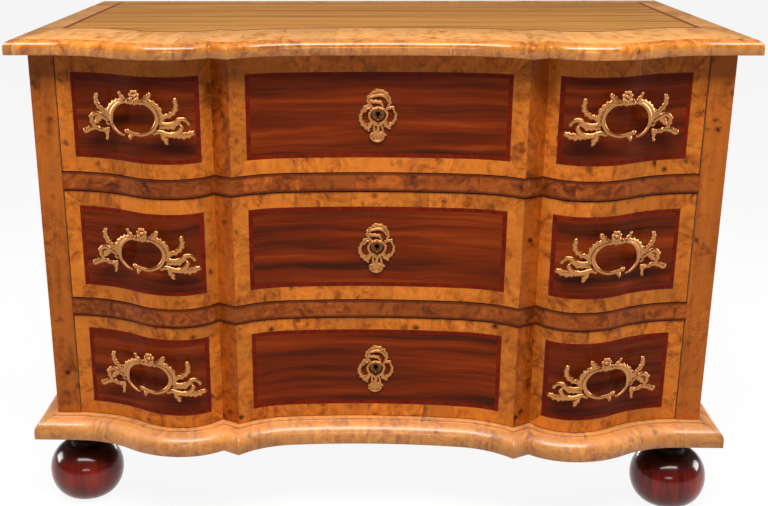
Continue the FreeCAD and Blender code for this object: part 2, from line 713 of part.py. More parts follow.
def save_case():
    top = moulded_slab(TOP_OVERHANG, TOP_OVOLO_R, TOP_STEP_H, TOP_OVERHANG - TOP_STEP_IN,
                       CASE_TOP, CASE_TOP + TOP_T)
    names = ("top_moulding_front", "top_moulding_left", "top_moulding_right", "top_board")
    for name, piece in zip(names, split_slab(top, TOP_OVERHANG, CASE_TOP, CASE_TOP + TOP_T)):
        save(name, piece)

    base = moulded_slab(BASE_OVERHANG, BASE_OVOLO_R, BASE_STEP_H, BASE_STEP_REACH,
                        FOOT_H, BASE_TOP)
    tenons = [foot_tenon(*place) for place in foot_places().values()]
    members = [piece.cut(tenons)
               for piece in split_slab(base, BASE_OVERHANG, FOOT_H, BASE_TOP)]
    for name, piece in zip(("front", "left", "right"), members):
        save("base_moulding_" + name, piece)
    floor = box(-CASE_W, CASE_W, BOW_REACH, -CASE_D, BASE_TOP - BOTTOM_T, BASE_TOP)
    save("bottom_board", members[3].common(floor))

    for name, place in foot_places().items():
        save(name, foot(*place))
    save("foot_blocks", foot_blocks())

    for side, name in ((-1, "left"), (1, "right")):
        save("post_" + name, post(side))
        x0, x1 = sorted((side * SIDE_IN_X, side * HALF_W))
        save("side_panel_" + name, box(x0, x1, -POST_D, -CASE_D, BASE_TOP, CASE_TOP))
    save("back_panel", box(-SIDE_IN_X, SIDE_IN_X, BACK_REACH, BACK_REACH - BACK_T,
                           BASE_TOP, CASE_TOP))

    save("rail_lower", rail(LOWER_RAIL_Z))
    save("rail_upper", rail(UPPER_RAIL_Z))
    top_rail = box(-OPENING_X, OPENING_X, TOP_RAIL_REACH, TOP_RAIL_REACH - TOP_RAIL_D,
                   CASE_TOP - TOP_RAIL_H, CASE_TOP)
    save("top_rail", top_rail.cut(lock_mortise(CASE_TOP - TOP_RAIL_H)))
    save("drawer_runners", running_strips())
    save("dust_boards", dust_boards())
    save("drawer_stops", drawer_stops())


def save_drawer(name, floor_z, ceiling_z, shoot_z, pulls):
    low, high, under = board_heights(floor_z, ceiling_z)
    middle_z = (floor_z + ceiling_z) / 2
    pull_z = middle_z + PULL_RISE
    panel = bottom_board(under)
    prefix = name + "_drawer_"
    save(prefix + "front", drawer_front(low, ceiling_z, middle_z, shoot_z, pull_z, panel))
    save(prefix + "side_left", side_board(-1, low, high, panel))
    save(prefix + "side_right", side_board(1, low, high, panel))
    save(prefix + "back", back_board(low, high, under))
    save(prefix + "bottom", panel)
    for side, shape in pulls.items():
        placed = shape.copy()
        placed.translate(V(0, 0, pull_z))
        save(prefix + "pull_" + side, placed)
    save(prefix + "pull_bolts", pull_bolts(pull_z - BOSS_DROP))
    save(prefix + "escutcheon", escutcheon(middle_z))
    save(prefix + "lock_case", lock_case(middle_z, shoot_z))
    save(prefix + "lock_bolt", lock_bolt(middle_z, shoot_z))


os.makedirs("parts", exist_ok=True)
save_case()
PULLS = {"left": pull(-1), "right": pull(1)}
for opening in OPENINGS:
    save_drawer(*opening, PULLS)
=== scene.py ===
import bisect
import cmath
from math import asin, cos, dist, pi, radians, sin, sqrt
from random import Random

import bmesh
import bpy
from mathutils import Matrix, Vector


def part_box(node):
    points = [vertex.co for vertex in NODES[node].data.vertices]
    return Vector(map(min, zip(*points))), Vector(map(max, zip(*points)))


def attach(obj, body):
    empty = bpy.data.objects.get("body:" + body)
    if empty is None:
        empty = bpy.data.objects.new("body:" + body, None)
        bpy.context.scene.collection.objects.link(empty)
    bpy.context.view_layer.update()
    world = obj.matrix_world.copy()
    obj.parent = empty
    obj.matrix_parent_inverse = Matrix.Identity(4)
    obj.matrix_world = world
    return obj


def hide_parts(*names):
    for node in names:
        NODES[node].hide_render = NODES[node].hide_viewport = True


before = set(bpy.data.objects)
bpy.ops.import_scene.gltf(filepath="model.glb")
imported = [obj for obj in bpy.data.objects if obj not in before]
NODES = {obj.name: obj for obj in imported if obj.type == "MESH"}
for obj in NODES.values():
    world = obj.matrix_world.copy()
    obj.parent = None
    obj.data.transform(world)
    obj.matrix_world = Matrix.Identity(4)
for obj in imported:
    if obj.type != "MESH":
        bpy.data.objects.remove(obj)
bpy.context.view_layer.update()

# Metres, +Z up, -Y in front. "Reach" is how far a thing stands before the corner posts' face.

# ---- places read from the frame
POST_LOW, POST_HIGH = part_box("post_right")
FRONT_Y = POST_LOW.y
HALF_W = POST_HIGH.x
OPENING_X = POST_LOW.x
BASE_TOP = POST_LOW.z
CASE_TOP = POST_HIGH.z
BACK_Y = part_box("side_panel_right")[1].y
SLAB_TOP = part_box("top_board")[1].z
BASE_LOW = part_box("base_moulding_front")[0].z
DRAWERS = ("lower_drawer", "middle_drawer", "upper_drawer")
FEET = ("foot_front_left", "foot_front_right", "foot_back_left", "foot_back_right")
SIDES = {"left": -1, "right": 1}
TINY = 1e-9

# ---- the front's plan curve
CENTRE_R = 1.3
SHOULDER_X = 0.150
RIDGE = 0.235 + 0.041j  # x and reach
VALLEY = 0.266 + 0.022j
BOW = 0.333 + 0.058j
BOW_OUTER_R = 0.12
EASE = 0.0012  # rounding of the ridge and the valley
EASE_STEPS = 4
COLUMNS = (30, 20, 8, 20, 20, 26)  # steps along half the curve's runs

# ---- veneer
VENEER_T = 0.0008
VENEER_GAP = 0.0008  # drawer veneers stop short of the fronts' edges
FRONT_INSET = 0.002  # drawer fronts behind the rails' faces
GAP_BELOW = 0.0005  # clearances of a drawer front in its opening
GAP_ABOVE = 0.0015
FIELD_H = 0.139
FIELD_DROP = dict(zip(DRAWERS, (0.0, 0.001, 0.0022)))
CENTRE_FIELD_X = 0.211
BOW_FIELD_X = (0.282, 0.495)
SIDE_FIELD_IN = (0.075, 0.06, 0.06, 0.07)  # from the front, base, back and top
CROSSBAND_W = 0.007
LINE_W = 0.0007  # dark line where a frame meets its field
KEY_HOLE_X = 0.0045  # opening in the veneer behind an escutcheon
KEY_HOLE_Z = (-0.012, 0.0045)
FRAME_LEAVES = (0.05, 0.12)  # shortest and longest leaf
RAIL_LEAVES = (0.05, 0.13)
BASE_LEAVES = (0.06, 0.14)
CREASE = radians(35)  # edges sharper than this aren't shaded smooth

# ---- mouldings
TOP_EDGE = (0.031, 0.011, 0.0015, 0.018)  # overhang, ovolo's radius, step's height and reach
BASE_EDGE = (0.036, 0.019, 0.0035, 0.009)
MEMBER_IN = 0.015
ARRIS = 0.0006  # easing of a moulding's edges
OVOLO_STEPS = 10
SIDE_STEPS = 60
END_STEPS = 10
TOP_FIELD_X = 0.529
TOP_FIELD_FRONT = 0.138  # behind the front's plan curve
TOP_FIELD_BACK = 0.055  # before the top's rear edge
TOP_LINE_W = 0.009

# ---- pulls and escutcheons
MM = 0.001
PULL_X = 0.382
PULL_RISE = 0.002
PULL = (0.0185, 0.0034)  # middle's distance from the wood, and half thickness
PULL_VOXEL = 0.0007
BOSS_X = 0.046
BOSS_DROP = 0.008
BOSS_PROFILE = ((0.0070, 0.0002), (0.0070, 0.0020), (0.0056, 0.0030), (0.0044, 0.0050),
                (0.0042, 0.0110), (0.0052, 0.0150), (0.0055, 0.0190))
PLATE = (0.0024, 0.0021)  # the same of an escutcheon
PLATE_VOXEL = 0.0005
KEYHOLE_R = 0.0034
KEYHOLE_SLOT = (0.0015, 0.0085)  # half its width, and its depth
DISH_R = 0.0125
DISH_HEIGHTS = (0.0002, 0.0014, 0.0020, 0.0002)  # inner edge up, then outer edge down
# The sunk dish gets a fixed share of that darkening: dirt with painted shade.
DISH_DIRT_AND_SHADE = 0.72
DISH_SIDES = 96
PETALS = 7
STROKE_STEP = 0.6  # mm between the rings of a stroke
STROKE_SIDES = 16

# Strokes: leafy or plain, widths at the start, middle and end, and the middle line's points,
# in mm: along the front towards the chest's middle, and 1j up. Balls: place and radius.
PULL_STROKES = (
    (False, (6, 8, 3.5), (-13+29j, -28+23j, -38+11j, -40.5-1j, -38.5-12j, -32-20j, -24-24.5j, -17-25.5j)),
    (True, (6, 9.5, 6), (-14+32j, -29+27j, -41+17j, -46+5j, -45-6j)),
    (False, (6, 7.5, 6), (13+29j, 26+24j, 36+13j, 38+1j, 33-11j, 24-18.5j, 11-22.5j, -2-21j, -12-18.5j)),
    (True, (6, 9.5, 6), (14+33j, 31+28j, 42+17j, 45+5j, 42-7j)),
    (True, (9, 10, 9), (-19+28j, -8+29.5j, 2+28.5j, 10+29.5j, 18+28.5j)),
    (True, (6, 6, 3), (-2-23j, -8-27j, -8-33j)),
    (True, (8, 8, 5), (-15+28j, -19+34j, -23+41j)),
    (True, (8, 11, 7), (16+28j, 22+34j, 27+41j)),
    (True, (7, 9, 7.5), (-45+7j, -54+10j, -62+16j, -66+25j, -64.5+34j)),
    (False, (6, 9, 7), (-45-6j, -54-1j, -63+4j, -71+4j, -77-3j)),
    (True, (8, 11, 7), (-46+5j, -56+2j, -65-5j, -70-13j)),
    (True, (6, 8.5, 7), (-77-2j, -75-10j, -70-18j)),
    (True, (7, 8, 10), (-44-17j, -52-21j, -60-21.5j, -68-19j, -77-20.5j, -88-25j)),
    (True, (7, 7, 4), (-49-20j, -49-28j, -50-36j)),
    (True, (6.5, 9, 7.5), (42+7j, 53+7.5j, 62+12j, 68+21j, 67.5+34j)),
    (False, (6, 8, 6), (44-3j, 55-5j, 65-3j, 72+2j, 80+2j, 86-3j, 87-9j)),
    (True, (6, 9, 6), (40-10j, 52-9j, 62-9j, 69-4j, 76-4j)),
    (False, (6, 9, 8), (30-21j, 40-17j, 50-20j, 60-22j, 69-19j, 75-12j, 76-6j)),
    (True, (8, 12, 9), (56-22j, 68-22j, 81-23.5j, 93-20.5j)),
    (True, (10, 9, 4), (44-21j, 50-29j, 53-38j)),
)
PULL_BALLS = ((-13, -18.5, 4.6), (-87, -24.5, 5.6), (-64.5, 34, 4.2), (67.5, 33, 4.2),
    (-77, -2, 4.2), (93, -20.5, 4.6), (27, 41, 4.4), (-23, 41, 3.4), (-9, 28, 4.2), (12, 28, 4.4),
    (2, 27, 4.2), (-50, -35, 2.8))
ROSETTE = (2.2, 38.0)
PLATE_STROKES = (
    (True, (4, 6, 5), (-16+28j, -9+34j, -1+37j, 7+36.5j, 14+32j, 18+25j, 18.5+18j, 15+11j)),
    (False, (3.5, 5.5, 4), (-15+26j, -7+29j, 1+30.6j, 8+29.6j, 13.5+25.5j, 16.5+19j)),
    (True, (5, 6, 4.5), (-15+21.5j, -8+20j, 19.5j, 6+16.5j, 7.5+11j)),
    (True, (5, 5, 5), (-16+28j, -17+22j, -13+16j, -9+11j)),
    (True, (4.5, 6.5, 9), (-8+11j, -15+14j, -22+10.5j, -27+2j, -28.5-6j, -25-15j, -19.5-20.5j,
        -13.5-25j)),
    (False, (3, 4, 3.5), (-12+8.5j, -17+9j, -21.5+5j)),
    (True, (4, 6, 7.5), (23+10j, 28+1j, 27-8j, 22-15j, 15-20.5j)),
    (True, (5, 5, 5), (12+7j, 18+10j, 24+10.5j)),
    (True, (5, 5, 3), (12-19j, 17-22j, 21.5-24j)),
    (False, (4, 5, 6), (9.6j, -8+8j, -13.8+2j, -13.4-6j, -8.5-12j, -0.5-18j)),
    (False, (4, 5, 6), (9.6j, 8+8j, 14.2+2j, 13-6j, 8-12.5j, 0.5-18j)),
    (True, (8, 9, 6), (-10-11j, -13-17j, -15-23j)),
    (True, (6, 8, 6), (9-12j, 13-17j, 16-21j)),
    (False, (4, 4.5, 5), (-6-16j, -6.5-22j, -6-29j)),
    (False, (4, 4.5, 5), (5-16j, 7.2-22j, 8-28j, 12-33j)),
    (True, (6, 6, 7), (-18j, -24j, -30j)),
    (False, (4, 5, 4), (-13-36j, -8-42j, -1-44.5j, 6-42j, 10.5-36j)),
)
PLATE_BALLS = ((-3, 38.5, 2.8), (-16.5, 27.5, 2.8), (24, 10.5, 3.2), (-21.5, 5, 3.0),
    (14.6, 2, 3.0), (-15, -26, 2.8), (12.5, -34, 2.4), (-14, 2, 2.8))
SHELL_AT = -1 - 27j
SHELL_RIBS = 7
SHELL_REACH = 15.0

# ---- feet and back
BALL_H = 0.098
PAD_R = 0.030
NECK_R = 0.026
NECK_H = 0.014
NECK_WAIST = 0.1  # share of its radius that the neck is drawn in
COLLAR_R = 0.031
TURNED_EASE = 0.002
FOOT_TENON_R = 0.014
FOOT_SIDES = 96
LATHE_MARK = 0.0012
BACK_BOARDS = 6
BOARD_GAP = 0.0004  # half the gap between two back boards
BOARD_WEAR = 0.0012


# ---- materials

def srgb(text):
    """Colour from its display value in hex."""
    def linear(value):
        value /= 255
        return value / 12.92 if value <= 0.04045 else ((value + 0.055) / 1.055) ** 2.4
    return (*map(linear, bytes.fromhex(text)), 1.0)


def grey(value):
    return (value, value, value, 1.0)


class Nodes:
    """A node tree being written."""

    def __init__(self, owner):
        owner.use_nodes = True
        self.tree = owner.node_tree
        self.tree.nodes.clear()

    def feed(self, node, inputs):
        """Give inputs a value or another node's output."""
        for key, value in inputs.items():
            if isinstance(value, bpy.types.NodeSocket):
                self.tree.links.new(value, node.inputs[key])
            else:
                node.inputs[key].default_value = value

    def add(self, kind, inputs=None, **settings):
        made = self.tree.nodes.new("ShaderNode" + kind)
        for key, value in settings.items():
            setattr(made, key, value)
        self.feed(made, inputs or {})
        return made

    def out(self, *kind, **settings):
        return self.add(*kind, **settings).outputs[0]

    def calc(self, operation, *values):
        return self.out("Math", dict(enumerate(values)), operation=operation)

    def times(self, a, b):
        return self.calc("MULTIPLY", a, b)

    def minus(self, a, b):
        return self.calc("SUBTRACT", a, b)

    def times_plus(self, a, b, c):
        return self.calc("MULTIPLY_ADD", a, b, c)

    def off_middle(self, value):
        return self.calc("ABSOLUTE", self.minus(value, 0.5))

    def object_place(self):
        return self.add("TexCoord").outputs["Object"]

    def carried(self, name):
        return self.add("Attribute", attribute_name=name).outputs["Fac"]

    def part(self, vector, i):
        return self.add("SeparateXYZ", {0: vector}).outputs[i]

    def ramp(self, value, stops):
        made = self.add("ValToRGB", {0: value})
        band = made.color_ramp.elements
        while len(band) < len(stops):
            band.new(0.5)
        for element, (place, colour) in zip(band, stops):
            element.position = place
            element.color = colour
        return made.outputs[0]

    def fade(self, value, start, end, first=0.0, last=1.0):
        """First up to start, then evenly to last at end."""
        return self.ramp(value, [(start, grey(first)), (end, grey(last))])

    def mix(self, share, first, second, blend="MIX"):
        inputs = {0: share, 6: first, 7: second}
        return self.add("Mix", inputs, data_type="RGBA", blend_type=blend).outputs[2]

    def noise(self, place, scale, detail=2.0, roughness=0.5, distortion=0.0):
        moved = self.out("VectorMath", {0: place, 1: scale}, operation="MULTIPLY")
        return self.out("TexNoise", {"Vector": moved, "Scale": 1.0, "Detail": detail,
                                     "Roughness": roughness, "Distortion": distortion})


MATERIALS = {}


class Paint(Nodes):
    """A material with one Principled shader."""

    def __init__(self, name):
        MATERIALS[name] = bpy.data.materials.new(name)
        super().__init__(MATERIALS[name])
        self.surface = self.add("BsdfPrincipled")
        self.output = self.add("OutputMaterial", {"Surface": self.surface.outputs[0]})

    def shade(self, inputs):
        self.feed(self.surface, inputs)

    def cover(self, share, colour, blend="MIX"):
        """Lay a colour over the shader's own."""
        bare = self.surface.inputs["Base Color"].links[0].from_socket
        self.shade({"Base Color": self.mix(share, bare, srgb(colour), blend)})


def grain_place(mat, axis):
    """Place with the grain along X, and veneer's leaf number."""
    if axis == "map":
        leaf = mat.carried("leaf")
        split = mat.add("SeparateXYZ", {0: mat.out("UVMap", uv_map="grain")}).outputs
        joined = {0: split[0], 1: split[1], 2: mat.times(leaf, 7.0)}
        return mat.out("CombineXYZ", joined), leaf
    split = mat.add("SeparateXYZ", {0: mat.object_place()}).outputs
    order = {"x": (0, 1, 2), "y": (1, 0, 2), "z": (2, 0, 1)}[axis]
    return mat.out("CombineXYZ", {i: split[j] for i, j in enumerate(order)}), None


CALM = 0.4  # how much figure is left between the patches of burr
LIGHT_FIGURE = 0.57  # figure of the calm wood
BLOT = 0.63  # noise above this is a dark blot
KNOT_DARK = 0.3  # tone of knots and cracks, of the darkest tone


def figured(mat, place, tones, streaks, wave, burr):
    """Streaks along the grain, bent and clouded as burr veneer is."""
    lift = mat.times(mat.minus(mat.noise(place, (5, 16, 1)), 0.5), wave * 2)
    shift = mat.out("CombineXYZ", {1: lift})
    moved = mat.out("VectorMath", {0: place, 1: shift}, operation="ADD")
    figure = mat.noise(moved, (*streaks, 1.0), 6.0, 0.62)
    fibre = mat.noise(moved, (30, 1500, 1.0))
    clouds = mat.noise(place, (34, 34, 34), 5.0, 0.62, 1.8)
    if burr:
        figure = mat.out("Mix", {0: burr, 2: figure, 3: clouds})
        where = mat.fade(mat.noise(place, (11, 15, 1.0)), 0.42, 0.56, CALM)
        figure = mat.times_plus(mat.minus(figure, LIGHT_FIGURE), where, LIGHT_FIGURE)
    fine = mat.times(mat.minus(fibre, 0.5), 0.10)
    stops = [(0.34 + 0.32 * i / (len(tones) - 1), tone) for i, tone in enumerate(tones)]
    return mat.ramp(mat.calc("ADD", figure, fine), stops), clouds, fibre


def knotted(mat, place, colour, dark, eyes):
    """Dark blots, knots and thin cracks, in patches."""
    blots = mat.noise(place, (26, 34, 1.0), 4.0, 0.6, 0.6)
    blots = mat.times(mat.fade(blots, BLOT - 0.06, BLOT + 0.06), eyes * 0.55)
    colour = mat.mix(blots, colour, dark)
    spread = mat.out("VectorMath", {0: place, 1: (36, 36, 1.0)}, operation="MULTIPLY")
    cells = mat.add("TexVoronoi", {"Vector": spread, "Scale": 1.0}).outputs["Distance"]
    apart = mat.times_plus(mat.noise(place, (150, 150, 1.0)), 0.3, cells)
    spots = mat.fade(apart, 0.20, 0.42, 1.0, 0.0)
    patches = mat.fade(mat.noise(place, (10, 10, 1.0)), 0.48, 0.58)
    colour = mat.mix(mat.times(mat.times(spots, patches), eyes), colour, dark)
    bent = mat.noise(place, (26, 26, 1.0), 4.0, 0.6, 2.2)
    crack = mat.fade(mat.off_middle(bent), 0.004, 0.020, 1.0, 0.0)
    near = mat.fade(mat.noise(place, (13, 13, 3.0)), 0.51, 0.62)
    return mat.mix(mat.times(mat.times(crack, near), eyes * 0.5), colour, dark)


def laid(mat, place, colour, leaf, mottle, spread, seam_dark):
    """Tone and slow drift of each leaf, and the dark joints."""
    drift = mat.minus(mat.noise(place, (9, 14, 1.0), 3.0), 0.5)
    tone = mat.times_plus(drift, mottle * 4, 1.0)
    if leaf is not None:
        own = mat.times_plus(leaf, 2 * spread, 1 - spread)
        seam = mat.calc("POWER", mat.calc("MAXIMUM", mat.carried("seam"), 0.0), 9.0)
        tone = mat.times(tone, mat.times(own, mat.times_plus(seam, -seam_dark, 1.0)))
    tones = mat.out("CombineColor", {0: tone, 1: tone, 2: tone})
    return mat.mix(1.0, colour, tones, "MULTIPLY")


def wood(name, tones, axis="map", streaks=(2.5, 90.0), wave=0.006, burr=0.0, eyes=0.0,
         mottle=0.05, spread=0.1, seam_dark=0.4, rough=0.35, polish=0.25, coat_ior=1.35,
         sheen=0.06, bump=0.15, painted_top_sheen=0.0):
    """Tones run from dark to light. Burr and eyes say how knotty it is, and the last option how pale a
    painted sheen makes the faces that look up.
    """
    mat = Paint(name)
    tones = [srgb(tone) for tone in tones.split()]
    place, leaf = grain_place(mat, axis)
    colour, clouds, fibre = figured(mat, place, tones, streaks, wave, burr)
    if eyes:
        dark = (*(channel * KNOT_DARK for channel in tones[0][:3]), 1.0)
        colour = knotted(mat, place, colour, dark, eyes)
    relief = mat.times_plus(fibre, 0.3, clouds)
    mat.shade({
        "Base Color": laid(mat, place, colour, leaf, mottle, spread, seam_dark),
        "Roughness": mat.times_plus(clouds, 0.16, rough - 0.08),
        "Specular IOR Level": sheen,
        "Coat Weight": polish,
        "Coat Roughness": 0.12,
        "Coat IOR": coat_ior,
        "Normal": mat.out("Bump", {"Strength": bump, "Distance": 0.0006, "Height": relief}),
    })
    if painted_top_sheen:
        # Painted sheen: the faces that look up are lightened towards pale cream.
        upward = mat.part(mat.add("NewGeometry").outputs["Normal"], 2)
        mat.cover(mat.fade(upward, 0.1, 0.8, 0.0, painted_top_sheen), "f0dcc4")
    return mat


def foot_polish():
    """Red-stained turning, with painted shade darkening it to near black towards its top."""
    mat = wood("red_polish", "5a0d06 821c0d 982a16", "z", (6, 60), rough=0.3, polish=0.75,
                 coat_ior=1.45, bump=0.05)
    place = mat.object_place()
    uneven = mat.times_plus(mat.noise(place, (18, 18, 6)), 0.02, mat.part(place, 2))
    # Painted shade: the ball darkens to near black towards its top, under the base.
    mat.cover(mat.fade(uneven, 0.062, 0.098, 0.0, 0.88), "180806")


def rail_painted_shade():
    """Rail veneer whose upper and lower edges are darkened with painted shade."""
    mat = wood("rail_burr", "4e1e08 904414 b86222", streaks=(12, 60), burr=0.75, eyes=1.0,
                 mottle=0.16, spread=0.26)
    height = mat.part(mat.add("TexCoord").outputs["Generated"], 2)
    # Painted shade along the rail's top and bottom edges.
    mat.cover(mat.fade(mat.off_middle(height), 0.34, 0.43, 0.0, 0.8), "561c04")


def front_board():
    """Pine board stained dark round the veneer."""
    mat = wood("front_board", PINE, "x", **BARE)
    back = mat.part(mat.add("NewGeometry").outputs["Normal"], 1)
    mat.cover(mat.fade(back, 0.2, 0.4, 1.0, 0.0), "684432", "MULTIPLY")


def metal(name, deep, bright, rough=0.28, dirt_and_shade=True):
    """Metal that can be dull and dark in its hollows, from dirt, and near the wood, as painted shade."""
    mat = Paint(name)
    noise = {"Vector": mat.object_place(), "Scale": 420.0, "Detail": 4.0, "Roughness": 0.7}
    speckle = mat.out("TexNoise", noise)
    share = mat.fade(speckle, 0.35, 0.65)
    if dirt_and_shade:
        # Darker in hollows (dirt) and near the wood (painted shade), from the casting's mark.
        keep = mat.minus(1.0, mat.carried("hollow"))
        share = mat.times(keep, mat.times_plus(share, 0.25, 0.75))
    mat.shade({
        "Base Color": mat.mix(share, srgb(deep), srgb(bright)),
        "Metallic": 1.0,
        "Roughness": mat.times_plus(share, -0.22, rough + 0.22),
        "Coat Weight": 0.35,
        "Coat Roughness": 0.25,
        "Normal": mat.out("Bump", {"Strength": 0.35, "Distance": 0.0005, "Height": speckle}),
    })


PINE = "aa7a48 c89c64 d8b07c"
BARE = {"streaks": (1.5, 45), "rough": 0.6, "polish": 0.0, "bump": 0.3}  # unpolished wood

wood("rosewood", "3e1808 5f2109 75290a 8e3910", streaks=(2.0, 46), wave=0.014, spread=0.06,
     polish=0.14, sheen=0.03)
wood("red_crossband", "601403 701a05 7c2008", streaks=(6, 70), mottle=0.08, polish=0.14, sheen=0.03)
wood("dark_line", "3c1406 54200a", spread=0.0)
wood("light_burr", "7a340c c66c22 e0852e", streaks=(6, 60), burr=0.65, eyes=1.0, mottle=0.09,
     spread=0.16, sheen=0.04)
wood("return_burr", "622607 a85013 c66a1f", streaks=(8, 50), burr=0.7, eyes=1.0, mottle=0.12)
rail_painted_shade()
wood("post_veneer", "70300c ae5b1b c46e27", streaks=(3, 50), burr=0.4, eyes=1.0, mottle=0.13, spread=0.04)
wood("edge_banding", "7a340c b86e28 d49246", streaks=(14, 70), burr=0.7, eyes=0.8, mottle=0.12,
     spread=0.2, seam_dark=0.35, rough=0.3, polish=1.0, coat_ior=1.5)
wood("border_banding", "8e501e c4884a d6a268", streaks=(10, 40), burr=0.6, eyes=0.4,
     mottle=0.08, spread=0.14, seam_dark=0.3, polish=0.5, coat_ior=1.4)
wood("plinth_banding", "783a12 be732c d89544", streaks=(14, 70), burr=0.65, eyes=0.7,
     mottle=0.12, spread=0.16, seam_dark=0.3, rough=0.45, polish=0.6, coat_ior=1.45, sheen=0.48,
     painted_top_sheen=0.08)
wood("top_veneer", "86521e aa7232 bc8642", streaks=(1.6, 55), wave=0.008, spread=0.03)
wood("top_line", "6e3812 8c4c1c", spread=0.02)
wood("pine", PINE, "x", **BARE)
wood("pine_lengthwise", PINE, "y", **BARE)
wood("pine_upright", PINE, "z", **{**BARE, "rough": 0.65})
wood("stained_pine", "281208 40200e 542e16", "x", **BARE)
front_board()
wood("aged_pine", "805630 a07446 b48a58", eyes=0.8, spread=0.15, **{**BARE, "rough": 0.7, "bump": 0.4})
wood("oak", "865e36 a67c4e b89060", "y", (4, 120), rough=0.5, polish=0.05, bump=0.3)
foot_polish()
# Near-black finish for the feet's necks and collars: painted shade.
wood("painted_shade_black", "140806 1e0d09 28120c", "z", (6, 60), rough=0.5, polish=0.1)
metal("gilt_brass", "2a1104", "c58245")
metal("brass", "967038", "ceaa68", dirt_and_shade=False)
metal("iron", "262220", "46403c", rough=0.45, dirt_and_shade=False)


# ---- the front's plan curve: points are x + reach * 1j

def radius_through(start, to_centre, point):
    """Radius of the circle that starts square to to_centre and meets point."""
    step = point - start
    return abs(step) ** 2 / (2 * (step * to_centre.conjugate()).real)


def crossing(start, along, centre, radius, near):
    """Where a line crosses a circle closest to near."""
    away = (start - centre) * along.conjugate()
    root = sqrt(radius ** 2 - away.imag ** 2)
    places = [start + (t - away.real) * along for t in (-root, root)]
    return min(places, key=lambda place: abs(place - near))


def half_curve(offset):
    """Right half as runs: (centre, radius, first angle, last angle) or two points."""
    turn = asin(SHOULDER_X / CENTRE_R)
    inward = complex(-sin(turn), cos(turn))
    shoulder = CENTRE_R * 1j - CENTRE_R * inward
    tight_r = radius_through(shoulder, inward, RIDGE)
    tight_c = shoulder + tight_r * inward
    along = (VALLEY - RIDGE) / abs(VALLEY - RIDGE)
    start = RIDGE + offset * along * 1j
    bow_r = radius_through(BOW, -1j, VALLEY)
    bow_c = BOW - bow_r * 1j
    run = OPENING_X - BOW.real
    both_r = (run ** 2 + BOW.imag ** 2) / (2 * BOW.imag)
    sweep = asin(run / both_r)
    reverse_r = both_r - BOW_OUTER_R
    ridge = crossing(start, along, tight_c, tight_r - offset, RIDGE)
    valley = crossing(start, along, bow_c, bow_r + offset, VALLEY)
    up = pi / 2
    return [
        (CENTRE_R * 1j, CENTRE_R - offset, -up, turn - up),
        (tight_c, tight_r - offset, turn - up, cmath.phase(ridge - tight_c)),
        (ridge, valley),
        (bow_c, bow_r + offset, cmath.phase(valley - bow_c), up),
        (BOW - BOW_OUTER_R * 1j, BOW_OUTER_R + offset, up, up - sweep),
        (OPENING_X + reverse_r * 1j, reverse_r - offset, -up - sweep, -up),
    ]


def run_length(run):
    return abs(run[1] - run[0]) if len(run) == 2 else run[1] * abs(run[3] - run[2])


def run_point(run, share):
    if len(run) == 2:
        return run[0] + (run[1] - run[0]) * share
    return run[0] + cmath.rect(run[1], run[2] + (run[3] - run[2]) * share)


def front_half(offset):
    """(x, reach) from the middle to the post, as many points at every offset."""
    points = []
    for i, (run, steps) in enumerate(zip(half_curve(offset), COLUMNS)):
        ease = EASE / run_length(run)
        first = ease if i in (2, 3) else 0.0
        last = 1 - ease if i in (1, 2) else 1.0
        shares = [first + (last - first) * k / steps for k in range(steps + 1)]
        if i in (2, 3):
            before, corner, after = points[-1], run_point(run, 0.0), run_point(run, first)
            for t in (k / EASE_STEPS for k in range(1, EASE_STEPS)):
                points.append((1 - t) ** 2 * before + 2 * t * (1 - t) * corner + t * t * after)
        elif i:
            shares = shares[1:]
        points += [run_point(run, share) for share in shares]
    return [(point.real, point.imag) for point in points]


def running(points, apart=dist):
    """Length of the way to each point."""
    lengths = [0.0]
    for a, b in zip(points, points[1:]):
        lengths.append(lengths[-1] + apart(a, b))
    return lengths


class Curve:
    """One offset of the front, to look up its reach or length at any x."""

    def __init__(self, offset):
        right = front_half(offset)
        points = [(-x, reach) for x, reach in right[:0:-1]] + right
        self.xs, self.reaches = zip(*points)
        lengths = running(points)
        self.lengths = [length - lengths[len(lengths) // 2] for length in lengths]

    def look_up(self, values, x):
        i = bisect.bisect_right(self.xs, x, 1, len(self.xs) - 1) - 1
        share = (x - self.xs[i]) / (self.xs[i + 1] - self.xs[i])
        return values[i] + (values[i + 1] - values[i]) * share

    def reach(self, x):
        return self.look_up(self.reaches, x)

    def length(self, x):
        return self.look_up(self.lengths, x)


# ---- mesh building

def add_object(name, data):
    made = bpy.data.objects.new(name, data)
    bpy.context.scene.collection.objects.link(made)
    return made


def mesh_from(bm, name):
    mesh = bpy.data.meshes.new(name)
    bm.to_mesh(mesh)
    bm.free()
    return mesh


def add_modifier(piece, name, kind, **settings):
    made = piece.modifiers.new(name, kind)
    for key, value in settings.items():
        setattr(made, key, value)


def quads(rings):
    for a, b in zip(rings, rings[1:]):
        for k in range(len(a)):
            after = (k + 1) % len(a)
            yield a[k], a[after], b[after], b[k]


def circle(steps):
    angles = [2 * pi * k / steps for k in range(steps)]
    return [(cos(angle), sin(angle)) for angle in angles]


